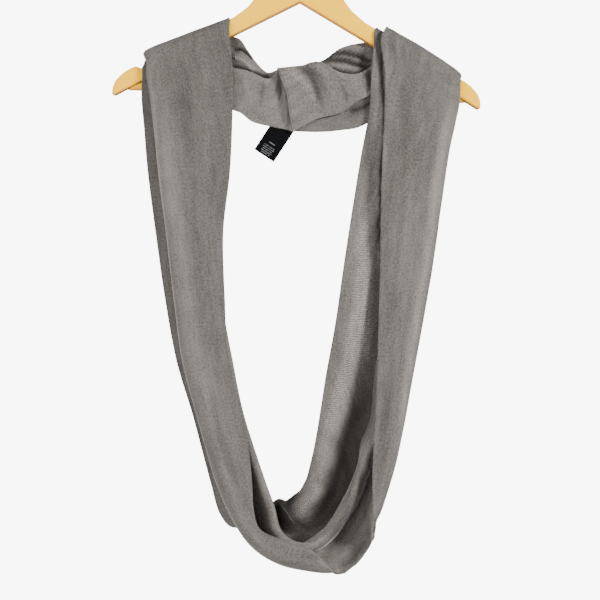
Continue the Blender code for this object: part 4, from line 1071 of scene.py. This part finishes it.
    def middle(self) -> np.ndarray:
        """The band's middle surface in mm: a grid, along the loop by across."""
        sections = self.sections()
        self.names = [section.name for section in sections]
        rows = np.array([self.across(section) for section in sections])
        gaps = np.median(np.linalg.norm(np.diff(rows, axis=0), axis=2), axis=1)
        knots = np.concatenate([[0.0], np.cumsum(np.sqrt(gaps))])
        aimed = [self.neck_row if name.startswith("neck") else self.row_length
                 for name in self.names[1:]]
        counts = np.clip(np.round(gaps / aimed), *self.row_counts).astype(int)
        self.starts = np.concatenate([[0], np.cumsum(counts)])
        return spline(rows, knots, fill(knots, counts))

    def places(self, grid: np.ndarray) -> tuple[np.ndarray, np.ndarray]:
        """Each point's place on the flat cloth in mm: across it and along it.

        Across is the arc from the outer fold, and along is the mean arc of all columns.
        """
        steps = np.linalg.norm(np.diff(grid, axis=1), axis=2)
        u = np.concatenate([np.zeros((len(grid), 1)), np.cumsum(steps, axis=1)], axis=1)
        u = u - u[:, int(self.column(OUTER_FOLD))][:, None]
        ahead = np.linalg.norm(np.diff(grid, axis=0), axis=2).mean(axis=1)
        v = np.concatenate([[0.0], np.cumsum(ahead)])[:, None] + np.zeros_like(u)
        return u, v

    def normals(self, grid: np.ndarray) -> np.ndarray:
        """Unit normals towards the reverse side: along the loop crossed with across."""
        along = np.gradient(grid, axis=0)
        along[0] = along[-1] = along[0] + along[-1]
        return unit(np.cross(along, np.gradient(grid, axis=1)))

    def relief(self, u: np.ndarray, v: np.ndarray) -> tuple[np.ndarray, np.ndarray]:
        """How far each point stands off the middle surface in mm, and its painted light and shade.

        Each crease is a soft trough or ridge: a bell across its line, fading to both
        ends. Very low uneven waves lie between them.
        """
        tone = np.zeros_like(u)
        off = sum(waves.off(u, v) for waves in self.waves)
        faster, least = self.end_fade
        for crease in CREASES:
            away, share = self.beside(u, v, [self.spot(u, v, *place) for place in crease.path])
            fade = np.clip(np.minimum(share, 1.0 - share) * faster + least, 0.0, 1.0)
            fade = fade * fade * (3.0 - 2.0 * fade)
            shape = crease.across(away) * fade
            off -= crease.rise * shape
            # painted light and shade along the crease
            tone += crease.tone * shape
        return off, np.clip(tone, *self.tones)

    def beside(self, u: np.ndarray, v: np.ndarray,
               path: Sequence[Spot]) -> tuple[np.ndarray, np.ndarray]:
        """How far each point is from a line of spots, and its share of the way along."""
        spots = np.array(path)
        runs = np.linalg.norm(np.diff(spots, axis=0), axis=1)
        near = np.full(u.shape, np.inf)
        share = np.zeros(u.shape)
        gone = 0.0
        for start, end, run in zip(spots[:-1], spots[1:], runs):
            du, dv = (end - start) / run
            t = np.clip((u - start[0]) * du + (v - start[1]) * dv, 0.0, run)
            away = np.hypot(u - start[0] - t * du, v - start[1] - t * dv)
            closer = away < near
            near = np.where(closer, away, near)
            share = np.where(closer, (gone + t) / runs.sum(), share)
            gone += run
        return near, share

    def spot(self, u: np.ndarray, v: np.ndarray, name: str, ahead: float,
             place: float) -> Spot:
        """Where a crease's place lies on the flat cloth, in mm.

        Args:
            u: each point's place across the cloth.
            v: each point's place along it.
            name: the section's name.
            ahead: the share of the way to the next section.
            place: how many control columns in from the front edge.

        Returns:
            The place across and along, of the nearest point of the grid.
        """
        i = self.names.index(name)
        step = self.starts[min(i + 1, len(self.names) - 1)] - self.starts[i]
        step = step or self.starts[i] - self.starts[i - 1]
        row = int(round(self.starts[i] + ahead * step))
        col = int(round(self.column(place)))
        return float(u[row, col]), float(v[row, col])

    def faces(self, rows: int, count: int) -> list[list[int]]:
        """The faces of the closed band.

        The points are the reverse wall's grid, the face wall's grid and a row for each
        raw edge. The faces are the two walls, the raw edges, and the quads and corners
        that close the band's two ends.
        """
        back = np.arange(rows * count).reshape(rows, count)
        front = back + rows * count
        edge_a = np.arange(rows) + 2 * rows * count
        edge_b = edge_a + rows
        rims = [grid_quads(np.stack(pair, axis=1), flip=True) for pair in (
            (back[:, 0], edge_a), (edge_a, front[:, 0]), (edge_b, back[:, -1]),
            (front[:, -1], edge_b))]
        ends = [
            np.stack([back[0, :-1], back[0, 1:], front[0, 1:], front[0, :-1]], -1),
            np.stack([back[-1, 1:], back[-1, :-1], front[-1, :-1], front[-1, 1:]], -1),
        ]
        corners = [(back[0, 0], front[0, 0], edge_a[0]), (back[-1, 0], edge_a[-1], front[-1, 0]),
                   (back[0, -1], edge_b[0], front[0, -1]),
                   (back[-1, -1], front[-1, -1], edge_b[-1])]
        quads = np.concatenate([grid_quads(back), grid_quads(front, flip=True), *rims, *ends])
        return [*quads.tolist(), *corners]

    def build(self) -> bpy.types.Object:
        """The closed band: each wall is the middle surface, half its thickness off."""
        grid = self.middle()
        u, v = self.places(grid)
        off, tone = self.relief(u, v)
        grid = grid + self.normals(grid) * off[..., None]
        normal = self.normals(grid)
        from_edge = np.minimum(u - u[:, :1], u[:, -1:] - u)
        half = self.wall / 2 + self.bead * bell(from_edge, self.bead_width)
        edge_a = grid[:, 0] + unit(grid[:, 0] - grid[:, 1]) * self.edge_out
        edge_b = grid[:, -1] + unit(grid[:, -1] - grid[:, -2]) * self.edge_out
        walls = [(grid + normal * side * half[..., None]).reshape(-1, 3) for side in (1.0, -1.0)]
        points = np.concatenate([*walls, edge_a, edge_b]) * MM
        made = new_mesh("scarf_band", points, self.faces(*u.shape))
        self.mark(made, u, v, tone)
        self.grid, self.normal = grid, normal
        return made

    def mark(self, made: bpy.types.Object, u: np.ndarray, v: np.ndarray,
             tone: np.ndarray) -> None:
        """Gives the mesh its sides, its place on the flat cloth and its painted light and shade.

        Args:
            made: the band.
            u: each grid point's place across the cloth, mm.
            v: each grid point's place along it, mm.
            tone: its painted light and shade.
        """
        rows, count = u.shape
        slots = np.zeros(len(made.data.polygons), dtype=np.int32)
        slots[: (rows - 1) * (count - 1)] = 1
        made.data.polygons.foreach_set("material_index", slots)
        flat = np.stack([u, v], axis=-1) * MM
        walls = flat.reshape(-1, 2)
        set_uv(made, np.concatenate([walls, walls, flat[:, 0], flat[:, -1]]))
        inner = u[:, int(self.column(INNER_FOLD))][:, None]
        # painted rim light: paler along the outer fold, the cloth beside it and the inner fold
        rim_light = np.full(u.shape, self.rim_light_rest)
        for (pale, width), away in ((self.outer_rim_light, u), (self.outer_glow, u),
                                    (self.inner_rim_light, u - inner)):
            rim_light += pale * bell(away, width)
        edge = np.full(rows, self.edge_rim_light)
        set_value(made, "rim_light", np.concatenate([rim_light.ravel(), rim_light.ravel(), edge, edge]))
        # the creases' painted light and shade
        set_value(made, "tone", np.concatenate([tone.ravel(), tone.ravel(), tone[:, 0],
                                                tone[:, -1]]))

    def dress(self, made: bpy.types.Object, finish: JerseyFinish) -> None:
        """Gives the band its two sides and places it over its eight stretches."""
        made.data.materials.append(finish.build(Side.FACE))
        made.data.materials.append(finish.build(Side.REVERSE))
        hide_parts("neck_left", "left_shoulder", "left_drop", "bend_left", "bend_right",
                    "right_drop", "right_shoulder", "neck_right")
        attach(made, "root")


@dataclass
class NeckSeam:
    """The seam that joins the band's two ends, a narrow bound ridge at the neck."""

    radius: float = 0.75       # mm
    lift: float = 0.6          # mm, towards the reverse
    sides: int = 10

    def build(self, band: Band) -> bpy.types.Object:
        """A thin tube along the band's end, carried on its reverse side."""
        line = (band.grid[0] + band.grid[-1]) / 2.0 + band.normal[0] * self.lift
        line = line[int(band.column(INNER_FOLD)):]
        return tube("neck_seam", line, np.full(len(line), self.radius), self.sides)

    def dress(self, made: bpy.types.Object, jersey: bpy.types.Material) -> None:
        """Gives the seam the reverse side's jersey."""
        made.data.materials.append(jersey)
        set_uv(made, np.zeros((len(made.data.vertices), 2)))
        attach(made, "root")


class DashRow(NamedTuple):
    """One row of the label's print, in mm."""

    down: float      # from the seam, below zero
    length: float
    count: int       # of dashes


@dataclass
class CareLabel:
    """The black satin label that hangs from the seam, with its print in plain dashes."""

    wide: float = 28.0
    long: float = 47.0
    thick: float = 0.5
    top: Point = (-21.5, -14.9, -253.9)
    turn: float = 33.3                           # degrees, from hanging straight down
    bow: tuple[float, float] = (0.35, 0.2)       # how far its middle and its sides bow
    bow_from: float = 20.0                       # full this far below the seam
    grid: tuple[int, int] = (25, 41)             # points across and down
    dash_rows: tuple[DashRow, ...] = (
        DashRow(-29.0, 9.0, 3), DashRow(-34.0, 14.5, 7), DashRow(-36.4, 15.5, 8),
        DashRow(-38.8, 13.5, 6), DashRow(-41.2, 15.0, 8), DashRow(-43.4, 12.0, 5))
    dash_seed: int = 3
    dash_gap: float = 0.5
    least_dash: float = 0.9
    dash_height: float = 0.9
    large_row: tuple[int, float] = (3, 1.2)      # a row of so few dashes is this high
    ink: float = 0.06

    def point(self, a: np.ndarray, b: np.ndarray, off: np.ndarray) -> np.ndarray:
        """Points of the label, turned and placed, in mm.

        Args:
            a: places across it, from its middle.
            b: places down it, from its top, below zero.
            off: heights over its middle surface, which bows across in half a wave.

        Returns:
            The points, with x, y and z last.
        """
        turn = math.radians(self.turn)
        bow = self.bow[0] * np.cos(a / self.wide * math.pi) - self.bow[1]
        x = a * math.cos(turn) + b * math.sin(turn) + self.top[0]
        z = -a * math.sin(turn) + b * math.cos(turn) + self.top[2]
        y = self.top[1] - bow * np.clip(-b / self.bow_from, 0.0, 1.0) - off
        return np.stack([x, y, z], axis=-1)

    def build(self) -> bpy.types.Object:
        """The ribbon: a grid bowed a little across, with a front, a back and edges."""
        a = np.linspace(-self.wide / 2, self.wide / 2, self.grid[0])[None, :]
        b = np.linspace(0.0, -self.long, self.grid[1])[:, None]
        a, b = np.broadcast_arrays(a, b)
        walls = [self.point(a, b, np.full(a.shape, side * self.thick / 2)).reshape(-1, 3)
                 for side in (1.0, -1.0)]
        index = np.arange(a.size).reshape(a.shape)
        around = np.concatenate([index[0, :-1], index[:-1, -1], index[-1, :0:-1],
                                 index[:0:-1, 0]])
        after = np.roll(around, -1)
        faces = np.concatenate([
            grid_quads(index), grid_quads(index + a.size, flip=True),
            np.stack([around, after, after + a.size, around + a.size], -1),
        ])
        made = new_mesh("care_label_ribbon", np.concatenate(walls) * MM, faces.tolist())
        flat = np.stack([a, b], axis=-1).reshape(-1, 2) * MM
        set_uv(made, np.concatenate([flat, flat]))
        return made

    def dashes(self) -> bpy.types.Object:
        """Rows of short plain dashes, each a small raised box."""
        rng = np.random.default_rng(self.dash_seed)
        points, faces = [], []
        low, high = self.thick / 2, self.thick / 2 + self.ink
        for row in self.dash_rows:
            cuts = np.sort(rng.uniform(0.0, 1.0, row.count - 1))
            ends = np.concatenate([[0.0], cuts, [1.0]]) * row.length - row.length / 2
            tall = self.large_row[1] if row.count <= self.large_row[0] else self.dash_height
            for start, end in zip(ends[:-1], ends[1:] - self.dash_gap):
                if end - start + self.dash_gap < self.least_dash:
                    continue
                a = np.array([start, end, end, start] * 2)
                b = np.array([row.down] * 2 + [row.down - tall] * 2)
                n = len(points) * 8
                points.append(self.point(a, np.tile(b, 2), np.repeat([low, high], 4)))
                faces += [[n, n + 1, n + 2, n + 3], [n + 7, n + 6, n + 5, n + 4]]
                faces += [[n + k, n + k + 4, n + (k + 1) % 4 + 4, n + (k + 1) % 4]
                          for k in range(4)]
        return new_mesh("care_label_print", np.concatenate(points) * MM, faces, smooth=False)

    def dress(self, ribbon: bpy.types.Object, dashes: bpy.types.Object) -> None:
        """Gives the label its satin and its print."""
        ribbon.data.materials.append(SatinFinish().build())
        dashes.data.materials.append(InkFinish().build())
        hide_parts("care_label")
        for piece in (ribbon, dashes):
            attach(piece, "root")


# ---------------------------------------------------------------- the hanger
@dataclass
class Hanger:
    """The wooden hanger: the arms in one shape, the trouser bar and the wire hook."""

    sizes: HangerSizes = HANGER
    bevel_segments: int = 7
    bevel_angle: float = 60.0                     # degrees, at which an edge is rounded
    bar_points: int = 41
    bar_sides: int = 40
    crook_turn: tuple[float, float] = (-46.0, 246.0)   # degrees, where it starts and its sweep
    crook_points: int = 18
    wire_steps: int = 5
    wire_sides: int = 20

    def outline(self) -> np.ndarray:
        """The arms' outline in mm, level, from the underside's middle round and back."""
        s = self.sizes
        half = [(0.0, s.low_at), (204.0, s.arm_low(204.0)), (217.5, -227.4), (221.0, -228.3),
                (222.5, -225.5), (222.0, -218.5), (218.5, -209.6), (210.0, -200.4),
                (202.0, -195.0), (195.5, -192.0), (188.4, -194.0), (182.0, -189.0),
                (176.0, s.arm_top(176.0)), (80.0, s.arm_top(80.0)), (63.0, -115.5),
                (54.0, -104.0), (47.0, -91.0), (39.0, -79.5), (28.0, -70.5),
                (14.0, s.neck_top - 1.2), (0.0, s.neck_top)]
        return np.array(half + [(-x, z) for x, z in reversed(half[1:-1])])

    def arms(self) -> bpy.types.Object:
        """The arms: the outline drawn through the thickness, with rounded long edges."""
        flat = self.outline()
        half = self.sizes.arm_thick / 2
        count = len(flat)
        points = [self.sizes.hung(x, y, z) for y in (-half, half) for x, z in flat]
        ahead = np.arange(count)
        after = (ahead + 1) % count
        sides = np.stack([ahead, after, after + count, ahead + count], -1).tolist()
        faces = [list(range(count))[::-1], list(range(count, 2 * count)), *sides]
        made = new_mesh("hanger_arms", np.array(points) * MM, faces)
        edge = made.modifiers.new("rounded", "BEVEL")
        edge.width = self.sizes.arm_round * MM
        edge.segments = self.bevel_segments
        edge.limit_method = "ANGLE"
        edge.angle_limit = math.radians(self.bevel_angle)
        edge.harden_normals = True
        return made

    def bar(self) -> bpy.types.Object:
        """The trouser bar: a round rod between its sockets."""
        s = self.sizes
        x = np.linspace(-s.bar_socket, s.bar_socket, self.bar_points)
        line = np.array([s.hung(k, 0.0, s.bar_height) for k in x])
        return tube("trouser_bar", line, np.full(len(x), s.bar_radius), self.bar_sides)

    def hook(self) -> bpy.types.Object:
        """The hook: a stem, then a crook turned round its centre, in one wire."""
        s = self.sizes
        radius = s.hook_bend + s.hook_wire / 2
        stem = [(0.0, s.neck_top - 19.0), (0.0, s.neck_top), (0.4, s.neck_top + 6.0),
                (3.0, s.neck_top + 12.5), (8.5, s.neck_top + 18.0)]
        start, sweep = self.crook_turn
        turn = np.radians(start + sweep * np.arange(self.crook_points) / (self.crook_points - 1))
        crook = np.stack([radius * np.cos(turn), radius * np.sin(turn) - s.hook_bend], -1)
        flat = np.concatenate([np.array(stem), crook])
        knots = np.concatenate([[0.0], np.cumsum(np.linalg.norm(np.diff(flat, axis=0), axis=1))])
        fine = spline(flat, knots, fill(knots, [self.wire_steps] * (len(flat) - 1)))
        line = np.array([s.hung(x, 0.0, z) for x, z in fine])
        return tube("hook_wire", line, np.full(len(line), s.hook_wire / 2), self.wire_sides)

    def dress(self, arms: bpy.types.Object, bar: bpy.types.Object,
              hook: bpy.types.Object) -> None:
        """Gives each piece its finish and sets it on the frame."""
        wood = WoodFinish()
        arms.data.materials.append(wood.build("arm_wood", self.sizes.slope, self.sizes.tilt))
        bar.data.materials.append(wood.build("bar_wood", 0.0, self.sizes.tilt))
        hook.data.materials.append(PlatedFinish().build())
        for piece, node, slot in ((arms, "hanger_body", "varnished_wood"),
                                  (bar, "hanger_bar", "varnished_wood"),
                                  (hook, "hanger_hook", "plated_steel")):
            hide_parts(node)
            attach(piece, "root")


# ---------------------------------------------------------------- the studio
class Lamp(NamedTuple):
    """One square soft light, in metres and watts."""

    name: str
    place: Point
    size: float
    watts: float


@dataclass
class Studio:
    """A plain pale floor, soft light and the camera in front."""

    floor_drop: float = 0.25          # below the scarf, m
    floor_round: float = 1.05         # m
    floor_points: int = 96
    floor_tone: Colour = (0.86, 0.86, 0.86)
    aim: Point = (-0.0041, 0.0, -0.4663)
    distance: float = 2.0
    view_wide: float = 0.725          # m across the picture at the hanger
    sensor: float = 36.0              # mm
    lamps: tuple[Lamp, ...] = (
        Lamp("key_light", (1.70, -1.43, 0.50), 0.5, 108.0),
        Lamp("left_fill", (-1.7, -1.43, 0.30), 1.2, 42.0),
        Lamp("low_fill", (-0.6, -2.1, -0.2), 1.2, 32.0),
        Lamp("back_fill", (-1.9, 1.0, 0.2), 1.2, 40.0))
    air: Colour = (0.98, 0.985, 1.0)
    glow_from: tuple[float, float] = (-0.5, 0.7)    # where the surround starts and ends to grow
    front_glow: float = 0.12          # the surround's strength in front and behind
    back_glow: float = 0.9
    seen_glow: float = 8.5            # and as the picture shows it

    def floor(self, lowest: float) -> None:
        """A round pale floor under the scarf."""
        turn = np.arange(self.floor_points) * TURN / self.floor_points
        level = np.full(self.floor_points, lowest - self.floor_drop)
        ring = np.stack([np.cos(turn) * self.floor_round, np.sin(turn) * self.floor_round,
                         level], -1)
        made = new_mesh("studio_floor", ring, [list(range(self.floor_points))], smooth=False)
        g = Graph("pale_floor")
        made.data.materials.append(g.finish(self.floor_tone, Roughness=0.9))

    def light(self, lamp: Lamp) -> None:
        """A square soft light aimed at the scarf's middle."""
        glow = bpy.data.lights.new(lamp.name, "AREA")
        glow.size = lamp.size
        glow.energy = lamp.watts
        made = bpy.data.objects.new(lamp.name, glow)
        made.location = lamp.place
        way = np.array(self.aim) - np.array(lamp.place)
        level = math.hypot(way[0], way[1])
        made.rotation_euler = (math.atan2(level, -way[2]), 0.0, math.atan2(-way[0], way[1]))
        bpy.context.scene.collection.objects.link(made)

    def surround(self) -> None:
        """The pale surround: weaker in front, stronger behind, and plain as it is seen."""
        world = bpy.data.worlds.new("pale_surround")
        world.use_nodes = True
        tree = world.node_tree
        shade = tree.nodes["Background"]
        shade.inputs["Color"].default_value = (*self.air, 1.0)
        place = tree.nodes.new("ShaderNodeTexCoord")
        parts = tree.nodes.new("ShaderNodeSeparateXYZ")
        tree.links.new(place.outputs["Generated"], parts.inputs[0])
        glow = tree.nodes.new("ShaderNodeMapRange")
        glow.interpolation_type = "SMOOTHSTEP"
        ranges = (*self.glow_from, self.front_glow, self.back_glow)
        for socket, value in zip(list(glow.inputs)[1:5], ranges):
            socket.default_value = value
        tree.links.new(parts.outputs[1], glow.inputs[0])
        path = tree.nodes.new("ShaderNodeLightPath")
        mix = tree.nodes.new("ShaderNodeMix")
        tree.links.new(path.outputs["Is Camera Ray"], mix.inputs[0])
        tree.links.new(glow.outputs[0], mix.inputs[2])
        mix.inputs[3].default_value = self.seen_glow
        tree.links.new(mix.outputs[0], shade.inputs["Strength"])
        bpy.context.scene.world = world

    def camera(self) -> None:
        """The camera, level and straight in front."""
        lens = bpy.data.cameras.new("front_camera")
        lens.sensor_width = self.sensor
        lens.lens = self.sensor * self.distance / self.view_wide
        lens.clip_end = 100.0
        made = bpy.data.objects.new("front_camera", lens)
        made.location = (self.aim[0], -self.distance, self.aim[2])
        made.rotation_euler = (math.pi / 2, 0.0, 0.0)
        bpy.context.scene.collection.objects.link(made)
        bpy.context.scene.camera = made


def main() -> None:
    """Builds and dresses the hanger, the band, its seam and its label."""
    logging.basicConfig(level=logging.INFO, format="%(name)s: %(message)s")
    studio = Studio()
    studio.camera()
    hanger = Hanger()
    arms, bar, hook = hanger.arms(), hanger.bar(), hanger.hook()
    hanger.dress(arms, bar, hook)
    band = Band()
    cloth = band.build()
    band.dress(cloth, JerseyFinish())
    neck_seam = NeckSeam()
    seam = neck_seam.build(band)
    neck_seam.dress(seam, bpy.data.materials["jersey_reverse"])
    label = CareLabel()
    ribbon, dashes = label.build(), label.dashes()
    label.dress(ribbon, dashes)
    studio.floor(CAD_BOX[0].z)
    for lamp in studio.lamps:
        studio.light(lamp)
    studio.surround()
    for piece in (arms, bar, hook, cloth, seam, ribbon, dashes):
        log.info("%s: %d faces", piece.name, len(piece.data.polygons))


if __name__ == "__main__":
    main()
